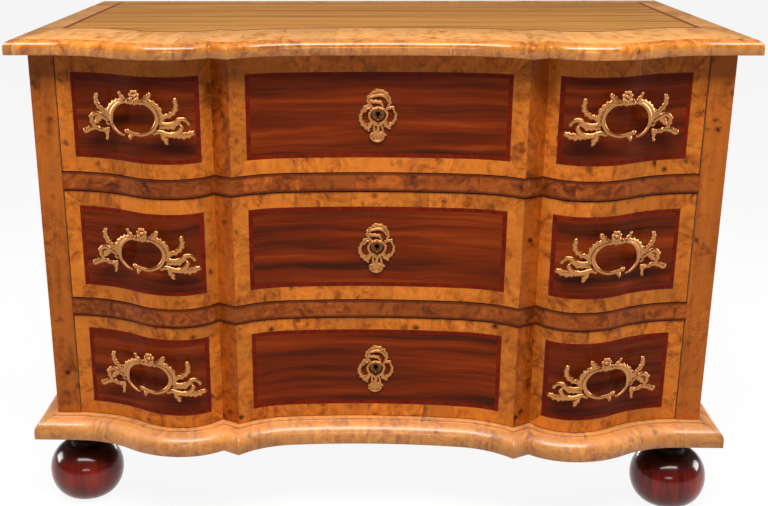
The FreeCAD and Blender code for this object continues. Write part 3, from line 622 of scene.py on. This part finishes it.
class Builder:
    """Collects faces with a material, grain map, leaf number and seams."""

    def __init__(self, *materials):
        self.bm = bmesh.new()
        self.names = materials
        self.uv = self.bm.loops.layers.uv.new("grain")
        self.leaf = self.bm.faces.layers.float.new("leaf")
        self.seam = self.bm.loops.layers.float.new("seam")
        self.verts = {}

    def vert(self, place):
        key = tuple(round(value * 1e6) for value in place)
        if key not in self.verts:
            self.verts[key] = self.bm.verts.new(place)
        return self.verts[key]

    def face(self, places, material, grain, leaf=0.5, seams=None):
        """Grain is a map of the corners, or names the axes across and along it."""
        if isinstance(grain, str):
            grain = [[place["xyz".index(axis)] for axis in grain] for place in places]
        rows = {}
        for i, place in enumerate(places):
            rows.setdefault(self.vert(place), (grain[i], seams[i] if seams else 0.0))
        corners = list(rows)
        if len(corners) < 3 or self.bm.faces.get(corners):
            return
        made = self.bm.faces.new(corners)
        made.material_index = self.names.index(material)
        made.smooth = True
        made[self.leaf] = leaf
        for loop, (place, seam) in zip(made.loops, rows.values()):
            loop[self.uv].uv = place
            loop[self.seam] = seam

    def finish(self, name):
        self.bm.normal_update()
        mesh = mesh_from(self.bm, name)
        for material in self.names:
            mesh.materials.append(MATERIALS[material])
        mesh.set_sharp_from_angle(angle=CREASE)
        return add_object(name, mesh)


def clip(polygon, a, sign):
    """Part of a convex (a, z) polygon above a, or below it when sign is -1."""
    kept = []
    for p, q in zip(polygon, polygon[1:] + polygon[:1]):
        dp, dq = sign * (p[0] - a), sign * (q[0] - a)
        if dp >= -TINY:
            kept.append(p)
        if (dp > TINY and dq < -TINY) or (dp < -TINY and dq > TINY):
            kept.append((a, p[1] + (q[1] - p[1]) * (dp / (dp - dq))))
    return kept


def veneer(name, leaves, columns, place, length, flip=False):
    """Sheet of veneer laid from leaves: (polygon, material, grain, leaf number, seams)."""
    build = Builder(*dict.fromkeys(leaf[1] for leaf in leaves))
    ends = [p[0] for leaf in leaves for p in leaf[0]]
    stops = sorted({round(a, 7) for a in [*columns, *ends]})
    for polygon, material, grain, number, marked in leaves:
        low, high = min(p[0] for p in polygon), max(p[0] for p in polygon)
        for left, right in zip(stops, stops[1:]):
            if right <= low + TINY or left >= high - TINY:
                continue
            part = clip(clip(polygon, left, 1), right, -1)[::-1 if flip else 1]
            if len(part) < 3:
                continue
            maps = [(length(a), z)[::-1 if grain == "across" else 1] for a, z in part]
            marks = [float(marked and min(abs(a - low), abs(a - high)) < 1e-7) for a, _ in part]
            build.face([place(a, z) for a, z in part], material, maps, number, marks)
    piece = build.finish(name)
    add_modifier(piece, "Thickness", "SOLIDIFY", thickness=VENEER_T, offset=-1.0, use_even_offset=True)
    add_modifier(piece, "Crisp", "EDGE_SPLIT", split_angle=CREASE)
    return piece


def split(polygon, rng, shortest, longest):
    """Cut a bar into leaves of uneven length."""
    end = max(p[0] for p in polygon)
    parts = []
    a = min(p[0] for p in polygon) + rng.uniform(shortest, longest)
    while a < end - shortest:
        parts.append(clip(polygon, a, -1))
        polygon = clip(polygon, a, 1)
        a += rng.uniform(shortest, longest)
    return parts + [polygon]


def box(x0, z0, x1, z1):
    return [(x0, z0), (x1, z0), (x1, z1), (x0, z1)]


def inset(rectangle, by):
    x0, z0, x1, z1 = rectangle
    return (x0 + by, z0 + by, x1 - by, z1 - by)


def ring(outer, inner, material, grains, numbers):
    """Mitred bars between two rectangles: bottom, top, left, right."""
    a, b, c, d = box(*outer)
    e, f, g, h = box(*inner)
    bars = [[a, b, f, e], [h, g, c, d], [a, e, h, d], [f, b, c, g]]
    return [(bar, material, grain, number, False) for bar, grain, number in zip(bars, grains, numbers)]


def panel_leaves(rng, outer, inner, hole=None):
    """Mitred frame, crossband and field of one panel."""
    out, crossed = ("across", "across", "along", "along"), ("along", "along", "across", "across")
    bars = ring(outer, inner, "light_burr", out, [rng.random() for _ in range(4)])
    leaves = bars[2:]
    for bar in bars[:2]:
        leaves += [(part, "light_burr", "across", rng.random(), True)
                   for part in split(bar[0], rng, *FRAME_LEAVES)]
    edge, core = inset(inner, LINE_W), inset(inner, CROSSBAND_W)
    leaves += ring(inner, edge, "dark_line", crossed, [0.5] * 4)
    leaves += ring(edge, core, "red_crossband", out, [rng.random() for _ in range(4)])
    number = rng.random()
    parts = [core]
    if hole:
        (c0, d0, c1, d1), (h0, k0, h1, k1) = core, hole
        parts = [(c0, d0, h0, d1), (h1, d0, c1, d1), (h0, d0, h1, k0), (h0, k1, h1, d1)]
    return leaves + [(box(*part), "rosewood", "along", number, False) for part in parts]


FACE = Curve(VENEER_T)
DRAWER_FACE = Curve(VENEER_T - FRONT_INSET)


def front_veneer(name, leaves, curve):
    return veneer(name, leaves, curve.xs, lambda x, z: (x, FRONT_Y - curve.reach(x), z), curve.length)


def opening_middle(drawer):
    """Height of a drawer's keyhole."""
    low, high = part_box(drawer + "_front")
    return (low.z - GAP_BELOW + high.z + GAP_ABOVE) / 2


def drawer_veneer(drawer, rng):
    """Three panels and the two returns between them."""
    low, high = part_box(drawer + "_front")
    z0, z1 = low.z + VENEER_GAP, high.z - VENEER_GAP
    half = high.x - VENEER_GAP
    key_z = opening_middle(drawer)
    v0 = key_z - FIELD_DROP[drawer] - FIELD_H / 2
    v1 = v0 + FIELD_H
    hole = (-KEY_HOLE_X, key_z + KEY_HOLE_Z[0], KEY_HOLE_X, key_z + KEY_HOLE_Z[1])
    ridge, valley, (u0, u1) = RIDGE.real, VALLEY.real, BOW_FIELD_X
    leaves = panel_leaves(rng, (-ridge, z0, ridge, z1), (-CENTRE_FIELD_X, v0, CENTRE_FIELD_X, v1), hole)
    leaves += panel_leaves(rng, (-half, z0, -valley, z1), (-u1, v0, -u0, v1))
    leaves += panel_leaves(rng, (valley, z0, half, z1), (u0, v0, u1, v1))
    for a0, a1 in ((-valley, -ridge), (ridge, valley)):
        leaves.append((box(a0, z0, a1, z1), "return_burr", "across", rng.random(), False))
    piece = front_veneer(drawer + "_veneer", leaves, DRAWER_FACE)
    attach(piece, drawer)


def rail_veneer(rail, rng):
    low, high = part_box(rail)
    shortest, longest = RAIL_LEAVES
    leaves = []
    a = -OPENING_X
    while a < OPENING_X - TINY:
        end = a + rng.uniform(shortest, longest)
        if OPENING_X - end < shortest:
            end = OPENING_X
        leaves.append((box(a, low.z, end, high.z), "rail_burr", "along", rng.random(), True))
        a = end
    piece = front_veneer(rail + "_veneer", leaves, FACE)
    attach(piece, "carcass")


def post_veneer(side_name, side, rng):
    x0, x1 = sorted((side * OPENING_X, side * (HALF_W + VENEER_T)))
    leaves = [(box(x0, BASE_TOP, x1, CASE_TOP), "post_veneer", "across", rng.random(), False)]
    piece = veneer("post_" + side_name + "_veneer", leaves, [],
                   lambda x, z: (x, FRONT_Y - VENEER_T, z), lambda x: x)
    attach(piece, "carcass")


def side_veneer(side_name, side, rng):
    front, low, back, top_in = SIDE_FIELD_IN
    outer = (FRONT_Y, BASE_TOP, BACK_Y, CASE_TOP)
    inner = (FRONT_Y + front, BASE_TOP + low, BACK_Y - back, CASE_TOP - top_in)
    x = side * (HALF_W + VENEER_T)
    piece = veneer("side_" + side_name + "_veneer", panel_leaves(rng, outer, inner), [],
                   lambda y, z: (x, y, z), lambda y: y, flip=side < 0)
    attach(piece, "carcass")


# ---- mouldings: profiles run from the underside up, as (offset from the case, height)

def between(a, b, steps):
    return [tuple(p + (q - p) * k / steps for p, q in zip(a, b)) for k in range(1, steps + 1)]


def path_points(offset):
    """(x, y) from the left side's back round the front to the right one's."""
    half = [(x, FRONT_Y - reach) for x, reach in front_half(offset)]
    corner = (HALF_W + offset, FRONT_Y - offset)
    half += between(half[-1], corner, END_STEPS)
    half += between(corner, (corner[0], BACK_Y), SIDE_STEPS)
    return [(-x, y) for x, y in half[:0:-1]] + half


def moulding_profile(overhang, radius, step_h, step_at, z0, z1):
    """Underside, fascia, ovolo, quirk and the edge of the flat above it."""
    shoulder, half, third = z1 - step_h, ARRIS * 0.5, ARRIS * 0.3
    turns = [pi / 2 * k / OVOLO_STEPS for k in range(OVOLO_STEPS + 1)]
    return [
        (-MEMBER_IN, z0), (overhang - ARRIS, z0), (overhang - third, z0 + third),
        (overhang, z0 + ARRIS),
        *((overhang - radius * (1 - cos(a)), shoulder - radius * (1 - sin(a))) for a in turns),
        (step_at + half, shoulder), (step_at, shoulder + half), (step_at, z1 - ARRIS),
        (step_at - third, z1 - third), (step_at - ARRIS, z1),
    ]


def leaf_numbers(rng, lengths, shortest, longest):
    """Each column's leaf number, and the columns where two leaves meet."""
    numbers, seams = [], set()
    current, end = rng.random(), rng.uniform(shortest, longest)
    for i, length in enumerate(lengths):
        if length > end:
            current, end = rng.random(), length + rng.uniform(shortest, longest)
            seams.add(i)
        numbers.append(current)
    return numbers, seams


def sweep(build, profile, material, rng, leaf_lengths):
    """Moulding round the front and sides, with the grain across it."""
    rows = [path_points(offset) for offset, _ in profile]
    outer = rows[len(rows) // 2]
    lengths, around = running(outer), running(profile)
    numbers, seams = leaf_numbers(rng, lengths, *leaf_lengths)
    marks = [float(i in seams) for i in range(len(outer))]
    for j in range(len(profile) - 1):
        for i in range(len(outer) - 1):
            corners = [(j, i), (j, i + 1), (j + 1, i + 1), (j + 1, i)]
            build.face([(*rows[m][n], profile[m][1]) for m, n in corners], material,
                       [(around[m], lengths[n]) for m, n in corners], numbers[i],
                       [marks[n] for _, n in corners])
    return rows, numbers, marks


def top():
    """Banded edge, banded border, dark line and field."""
    rng = Random(11)
    profile = moulding_profile(*TOP_EDGE, CASE_TOP, SLAB_TOP)
    build = Builder("edge_banding", "border_banding", "top_veneer", "top_line", "pine")
    rows, numbers, marks = sweep(build, profile, "edge_banding", rng, FRAME_LEAVES)
    right = [(*row[-1], z) for row, (_, z) in zip(rows, profile)]
    build.face(right + [(-x, y, z) for x, y, z in right[::-1]], "pine", "zx")
    build.face([(*p, CASE_TOP) for p in rows[0]], "pine", "xy")
    back = BACK_Y - TOP_FIELD_BACK
    plan = Curve(0.0)

    def inner(point, grow):
        x = min(max(point[0], -TOP_FIELD_X - grow), TOP_FIELD_X + grow)
        reach = plan.reach(x) if abs(x) < OPENING_X else 0.0
        front = FRONT_Y + TOP_FIELD_FRONT - reach
        return (x, min(max(point[1], front - grow), back + grow), SLAB_TOP)

    edge = [(*p, SLAB_TOP) for p in rows[-1]]
    for i, (a, b) in enumerate(zip(edge, edge[1:])):
        grain = "xy" if abs(a[0] - b[0]) < TINY else "yx"
        (p, q), (s, t) = [(inner(a, grow), inner(b, grow)) for grow in (TOP_LINE_W, 0.0)]
        build.face([a, b, q, p], "border_banding", grain, numbers[i],
                   [marks[i], marks[i + 1], marks[i + 1], marks[i]])
        build.face([p, q, t, s], "top_line", grain, numbers[i])
    for a, b in zip(edge, edge[1:]):
        p, q = inner(a, 0.0), inner(b, 0.0)
        if q[0] - p[0] > TINY:
            build.face([p, q, (q[0], back, SLAB_TOP), (p[0], back, SLAB_TOP)], "top_veneer", "xy")
    x0, x1, x2 = TOP_FIELD_X, TOP_FIELD_X + TOP_LINE_W, edge[-1][0]
    y0, y1, y2 = back, back + TOP_LINE_W, BACK_Y
    strip, band = [[(-p, q, SLAB_TOP), (p, q, SLAB_TOP), (r, s, SLAB_TOP), (-r, s, SLAB_TOP)]
                   for p, q, r, s in ((x0, y0, x1, y1), (x1, y1, x2, y2))]
    build.face(strip, "top_line", "xy")
    build.face(band, "border_banding", "yx", 0.6)
    piece = build.finish("top_veneered")
    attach(piece, "carcass")
    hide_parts("top_board", "top_moulding_front", "top_moulding_left", "top_moulding_right")


def base():
    rng = Random(23)
    profile = moulding_profile(*BASE_EDGE, BASE_LOW, BASE_TOP)
    profile += [(-MEMBER_IN, BASE_TOP), profile[0]]
    build = Builder("plinth_banding")
    rows, _, _ = sweep(build, profile, "plinth_banding", rng, BASE_LEAVES)
    for end in (0, -1):
        build.face([(*row[end], z) for row, (_, z) in zip(rows[:-1], profile)], "plinth_banding", "zx")
    piece = build.finish("base_moulding_banded")
    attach(piece, "carcass")
    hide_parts("base_moulding_front", "base_moulding_left", "base_moulding_right")


# ---- cast brass

def curve_through(points):
    """Close points on a smooth curve through the given ones."""
    ends = [2 * points[0] - points[1]] + points + [2 * points[-1] - points[-2]]
    dense = []
    for p0, p1, p2, p3 in zip(ends, ends[1:], ends[2:], ends[3:]):
        steps = max(2, round((p2 - p1).length / STROKE_STEP))
        for t in (k / steps for k in range(steps)):
            dense.append(0.5 * (2 * p1 + (p2 - p0) * t + (2 * p0 - 5 * p1 + 4 * p2 - p3) * t * t
                                + (3 * p1 - p0 - 3 * p2 + p3) * t ** 3))
    return dense + [points[-1]]


def add_tube(bm, rings):
    """Closed skin over rings of points."""
    rows = [[bm.verts.new(place) for place in ring] for ring in rings]
    for corners in quads(rows):
        bm.faces.new(corners)
    bm.faces.new(rows[0][::-1])
    bm.faces.new(rows[-1])


def leaf_swell(across, s, width):
    """Swell of a leaf's lobes and veins round its stem."""
    edge = abs(across)
    vein = cos(2 * pi * (s / 3.4 - 0.16 * edge * width))
    lobe = cos(2 * pi * (s / 7.5 + (0.5 if across > 0 else 0.0)))
    return 1 + 0.13 * vein * (0.4 + edge) + 0.22 * lobe * edge * edge


def add_stroke(bm, leafy, widths, points, middle, half_t):
    path = curve_through([Vector((point.real, point.imag)) for point in points])
    lengths = running(path, lambda a, b: (b - a).length)
    total = lengths[-1]
    first, mid, last = widths
    rings = []
    for i, (point, s) in enumerate(zip(path, lengths)):
        along = (path[min(i + 1, len(path) - 1)] - path[max(i - 1, 0)]).normalized()
        side = Vector((-along.y, along.x))
        t = s / total
        width = first * (1 - t) * (1 - 2 * t) + 4 * mid * t * (1 - t) + last * t * (2 * t - 1)
        tip = min(min(s, total - s) / (width / 2), 1.0)
        width *= max(sqrt(1 - (1 - tip) ** 2), 0.1)
        ring = []
        for across, up in circle(STROKE_SIDES):
            swell = leaf_swell(across, s, width) if leafy else 1.0
            flat = point + side * (across * width / 2 * swell)
            tall = min(half_t, width * MM * 0.5) * (0.5 + 0.5 * swell)
            ring.append((flat.x * MM, flat.y * MM, middle + up * tall))
        rings.append(ring)
    add_tube(bm, rings)


def add_ball(bm, u, w, radius, middle, half_t):
    squash = min(1.0, half_t * 1.1 / (radius * MM))
    place = Matrix.Translation((u * MM, w * MM, middle)) @ Matrix.Diagonal((1, 1, squash, 1))
    bmesh.ops.create_icosphere(bm, subdivisions=3, radius=radius * MM, matrix=place)


def mark_hollows(bm, middle, half_t, voxel):
    """Mark how deep each point lies among its neighbours, for dirt, and how near the wood it lies, for
    painted shade.
    """
    bm.normal_update()
    bm.verts.index_update()
    bm.verts.ensure_lookup_table()
    around = [[edge.other_vert(vert).index for edge in vert.link_edges] for vert in bm.verts]
    values = []
    for vert, others in zip(bm.verts, around):
        mean = sum((bm.verts[k].co for k in others), Vector()) / max(len(others), 1)
        values.append((mean - vert.co).dot(vert.normal) / voxel)
    for _ in range(3):
        values = [(value + sum(values[k] for k in others)) / (1 + len(others))
                  for value, others in zip(values, around)]
    layer = bm.verts.layers.float.new("hollow")
    for vert, value in zip(bm.verts, values):
        # Concave points get dirt; points low towards the wood get painted shade.
        low = (middle - vert.co.z) / half_t
        vert[layer] = min(max(0.36 + 12.0 * value + 0.5 * low, 0.0), 1.0)


def cast(strokes, balls, extras, middle, half_t, voxel):
    """One skin over strokes, balls and extras, in (u, w, height over the wood)."""
    bm = bmesh.new()
    for leafy, widths, points in strokes:
        lift = -0.1 * half_t if leafy else 0.1 * half_t
        add_stroke(bm, leafy, widths, points, middle + lift, half_t * 0.9)
    for ball in balls:
        add_ball(bm, *ball, middle, half_t)
    extras(bm)
    bmesh.ops.recalc_face_normals(bm, faces=bm.faces)
    mesh = mesh_from(bm, "rough")
    rough = add_object("rough", mesh)
    add_modifier(rough, "Skin", "REMESH", mode="VOXEL", voxel_size=voxel)
    skin = bmesh.new()
    skin.from_object(rough, bpy.context.evaluated_depsgraph_get())
    bpy.data.objects.remove(rough)
    bpy.data.meshes.remove(mesh)
    bmesh.ops.smooth_vert(skin, verts=skin.verts, factor=0.5,
                          **{"use_axis_" + axis: True for axis in "xyz"})
    mark_hollows(skin, middle, half_t, voxel)
    return skin


LEVEL_STEP = 0.004
LEVELS = [Curve(-FRONT_INSET + k * LEVEL_STEP) for k in range(7)]


def on_front(x, height, w):
    """Place at some height over a drawer front's wood."""
    level = min(max(height / LEVEL_STEP, 0.0), len(LEVELS) - 1.001)
    low = int(level)
    a, b = LEVELS[low].reach(x), LEVELS[low + 1].reach(x)
    return (x, FRONT_Y - (a + (b - a) * (level - low)), w)


def shaped(skin, name, place, mirrored=False):
    for vert in skin.verts:
        vert.co = place(*vert.co)
    if mirrored:
        bmesh.ops.reverse_faces(skin, faces=skin.faces)
    for face in skin.faces:
        face.smooth = True
    mesh = mesh_from(skin, name)
    mesh.materials.append(MATERIALS["gilt_brass"])
    return mesh


def pull_extras(bm):
    """Rosette, and the bosses that carry the pull."""
    u, w = ROSETTE
    middle, half_t = PULL
    for k in range(PETALS):
        angle = 2 * pi * (k + 0.25) / PETALS
        add_ball(bm, u + 6.4 * cos(angle), w + 7.4 * sin(angle), 3.5, middle, half_t)
    add_ball(bm, u, w, 3.4, middle + 0.0008, half_t * 0.8)
    for side in SIDES.values():
        add_tube(bm, [[(side * BOSS_X + radius * c, -BOSS_DROP + radius * s, height)
                       for c, s in circle(32)] for radius, height in BOSS_PROFILE])


def plate_extras(bm):
    """The shell below the keyhole."""
    for k in range(SHELL_RIBS):
        tip = SHELL_AT + cmath.rect(SHELL_REACH, radians(-148 + 116 * k / (SHELL_RIBS - 1)))
        add_stroke(bm, False, (2, 4, 5), (SHELL_AT, (SHELL_AT + tip) / 2, tip), *PLATE)


def add_dish(bm):
    """Sunk plate inside the ring, pierced for the key."""
    layer = bm.verts.layers.float["hollow"]
    half, drop = KEYHOLE_SLOT
    rows = []
    for c, s in circle(DISH_SIDES):
        reach = KEYHOLE_R
        if s < 0:
            reach = max(KEYHOLE_R, min(half / max(abs(c), 1e-6), drop / -s))
        reaches = (reach, reach, DISH_R, DISH_R)
        rows.append([bm.verts.new((c * r, s * r, z)) for r, z in zip(reaches, DISH_HEIGHTS)])
        for vert in rows[-1]:
            vert[layer] = DISH_DIRT_AND_SHADE
    for corners in quads(rows + rows[:1]):
        bm.faces.new(corners[::-1])


def hang(mesh, end, rise=0.0):
    for drawer in DRAWERS:
        piece = add_object(drawer + end + "_cast", mesh)
        piece.location.z = opening_middle(drawer) + rise
        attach(piece, drawer)
        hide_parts(drawer + end)


def pulls():
    skin = cast(PULL_STROKES, PULL_BALLS, pull_extras, *PULL, PULL_VOXEL)
    for side_name, side in SIDES.items():
        mesh = shaped(skin.copy(), "pull_" + side_name,
                      lambda u, w, height: on_front(side * (PULL_X - u), height, w), side > 0)
        hang(mesh, "_pull_" + side_name, PULL_RISE)
    skin.free()


def escutcheons():
    skin = cast(PLATE_STROKES, PLATE_BALLS, plate_extras, *PLATE, PLATE_VOXEL)
    add_dish(skin)
    hang(shaped(skin, "escutcheon", lambda u, w, height: on_front(u, height, w)), "_escutcheon")


# ---- feet and back

def foot_profile(radius, height, top):
    """(radius, height) from the pad up: ball, hollow neck, collar and tenon."""
    half, collar = BALL_H / 2, BALL_H + NECK_H
    quarter = [pi / 2 * k / 20 for k in range(21)]
    return [
        (0.0, 0.0), (PAD_R - TURNED_EASE, 0.0),
        *((PAD_R + (radius - PAD_R) * sin(a), half * (1 - cos(a))) for a in quarter),
        *((NECK_R + (radius - NECK_R) * cos(a), half * (1 + sin(a))) for a in quarter[1:]),
        *((NECK_R * (1 - NECK_WAIST * sin(pi * k / 8)), BALL_H + NECK_H * k / 8) for k in range(1, 9)),
        (COLLAR_R - TURNED_EASE, collar), (COLLAR_R, collar + TURNED_EASE), (COLLAR_R, height),
        (FOOT_TENON_R, height), (FOOT_TENON_R, top), (0.0, top),
    ]


def foot(name, rng):
    low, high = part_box(name)
    centre = (low + high) / 2
    build = Builder("red_polish", "painted_shade_black")
    start = rng.random()
    rings = []
    for radius, z in foot_profile((high.x - low.x) / 2, BASE_LOW, high.z):
        radius *= 1 + LATHE_MARK * sin(z * 900 + start * 6)
        rings.append([(centre.x + radius * c, centre.y + radius * s, z) for c, s in circle(FOOT_SIDES)])
    for corners in quads(rings):
        # The neck and collar are painted near black as shade under the base.
        material = "red_polish" if corners[0][2] < BALL_H * 0.985 else "painted_shade_black"
        build.face(corners, material, box(0, 0, 1, 1), start)
    piece = build.finish(name + "_turned")
    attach(piece, "carcass")
    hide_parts(name)


def back_boards():
    low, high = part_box("back_panel")
    rng = Random(5)
    build = Builder("aged_pine")
    width = (high.x - low.x) / BACK_BOARDS
    edges = [low.x + width * k for k in range(BACK_BOARDS + 1)]
    for k in range(1, BACK_BOARDS):
        edges[k] += rng.uniform(-0.25, 0.25) * width
    for x0, x1 in zip(edges, edges[1:]):
        leaf = rng.random()
        corners = box(x0 + BOARD_GAP, low.y, x1 - BOARD_GAP, high.y)
        under, over = [[(x, y, z) for x, y in corners] for z in (low.z, high.z)]
        build.face(under[::-1], "aged_pine", "yx", leaf)
        build.face(over, "aged_pine", "yx", leaf)
        for places in quads([under, over]):
            build.face(places, "aged_pine", [(z, x + y) for x, y, z in places], leaf)
    piece = build.finish("back_boards")
    add_modifier(piece, "Worn edges", "BEVEL", width=BOARD_WEAR, segments=2, limit_method="ANGLE")
    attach(piece, "carcass")
    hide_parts("back_panel")


def dress(start, **materials):
    for material, names in materials.items():
        for name in names.split():
            slots = NODES[start + name].data.materials
            slots.clear()
            slots.append(MATERIALS[material])


# ---- stage

CAMERA_AT = Vector((-0.0143, -2.0612, 1.0446))
YAW, PITCH, ROLL = 0.0377, -0.3165, -0.0048
PHOTO_W = 768
PHOTO_H = 506
FOCAL_PX = 1126.22
CENTRE_PX = (327.89, 260.95)
FLOOR_HALF = 90.0
FLOOR_GLOW = 0.90  # how much of the floor's white is its own
FLOOR_BOUNCE = 0.22  # grey of the floor for the light it throws on the chest
WARM = (1.0, 0.97, 0.92)
AMBIENT = ((1.0, 0.97, 0.93, 1.0), 0.11)

# Lamps: name, place, target, size, watts, tint and spread in degrees.
LAMPS = (
    ("key", (0.0, -1.6, 3.1), (0.0, -0.3, 0.4), (3.2, 1.0), 146, WARM, 180),
    ("overhead", (0.0, -0.5, 3.1), (0.0, -0.3, 0.4), (3.2, 0.35), 20, WARM, 180),
    ("window", (0.0, -3.2, 1.0), (0.0, -0.3, 0.2), (1.2, 0.2), 9, (1, 1, 1), 180),
    ("beside_left", (-3.2, 0.5, 1.0), (-0.6, 0.1, 0.4), (1.4, 1.0), 8, (1, 1, 1), 60),
    ("beside_right", (3.2, 0.5, 1.0), (0.6, 0.1, 0.4), (1.4, 1.0), 8, (1, 1, 1), 60),
    ("rear", (0.0, 2.2, 0.38), (0.0, 0.36, 0.4), (1.7, 0.5), 10, (1, 1, 1), 75),
)


def lamp(name, place, target, size, power, tint, spread):
    data = bpy.data.lights.new(name, "AREA")
    data.shape = "RECTANGLE"
    data.size, data.size_y = size
    data.energy = power
    data.color = tint
    data.spread = radians(spread)
    made = add_object(name, data)
    made.location = place
    aim = Vector(target) - Vector(place)
    made.rotation_euler = aim.to_track_quat("-Z", "Y").to_euler()


def floor():
    """Floor that looks white but throws little light on the chest."""
    bm = bmesh.new()
    bmesh.ops.create_grid(bm, x_segments=24, y_segments=24, size=FLOOR_HALF)
    mesh = mesh_from(bm, "floor")
    mat = Paint("floor_paint")
    cloud = mat.out("TexNoise", {"Vector": mat.object_place(), "Scale": 2.0})
    white = mat.fade(cloud, 0.3, 0.7, 0.83, 0.87)
    rays = mat.add("LightPath").outputs
    seen = mat.calc("MAXIMUM", rays["Is Camera Ray"], rays["Is Glossy Ray"])
    seen = mat.calc("MAXIMUM", seen, rays["Is Transmission Ray"])
    mat.shade({"Base Color": mat.mix(seen, grey(FLOOR_BOUNCE), white), "Roughness": 0.9,
                 "Specular IOR Level": 0.1})
    glow = mat.out("Emission", {"Color": grey(1.0), "Strength": 1.0})
    whole = {0: mat.times(seen, FLOOR_GLOW), 1: mat.surface.outputs[0], 2: glow}
    mat.feed(mat.output, {"Surface": mat.out("MixShader", whole)})
    mesh.materials.append(MATERIALS["floor_paint"])
    made = add_object("floor", mesh)


# ---- the scene

data = bpy.data.cameras.new("camera")
data.sensor_width = 36.0
data.lens = FOCAL_PX * data.sensor_width / PHOTO_W
data.shift_x = (PHOTO_W / 2 - CENTRE_PX[0]) / PHOTO_W
data.shift_y = (CENTRE_PX[1] - PHOTO_H / 2) / PHOTO_W
camera = add_object("camera", data)
camera.matrix_world = (Matrix.Translation(CAMERA_AT) @ Matrix.Rotation(YAW, 4, "Z")
                       @ Matrix.Rotation(pi / 2 + PITCH, 4, "X")
                       @ Matrix.Rotation(ROLL, 4, "Z"))
scene = bpy.context.scene
scene.camera = camera

for drawer in DRAWERS:
    drawer_veneer(drawer, Random(drawer))
for rail in ("rail_lower", "rail_upper"):
    rail_veneer(rail, Random(rail))
for side_name, side in SIDES.items():
    post_veneer(side_name, side, Random("post" + side_name))
    side_veneer(side_name, side, Random("side" + side_name))
top()
base()
for name in FEET:
    foot(name, Random(name))
back_boards()
pulls()
escutcheons()

# Materials of the CAD nodes
dress("", pine="bottom_board top_rail dust_boards drawer_stops",
      stained_pine="rail_lower rail_upper", pine_lengthwise="drawer_runners foot_blocks",
      pine_upright="back_panel post_left post_right side_panel_left side_panel_right",
      red_polish=" ".join(FEET))
for drawer in DRAWERS:
    dress(drawer + "_", front_board="front", pine="bottom back", oak="side_left side_right",
          brass="pull_bolts", gilt_brass="pull_left pull_right escutcheon",
          iron="lock_case lock_bolt")

floor()
scene.view_settings.view_transform = "Standard"
scene.world = bpy.data.worlds.new("studio")
sky = Nodes(scene.world)
ambient = sky.out("Background", {"Color": AMBIENT[0], "Strength": AMBIENT[1]})
sky.add("OutputWorld", {"Surface": ambient})
for row in LAMPS:
    lamp(*row)
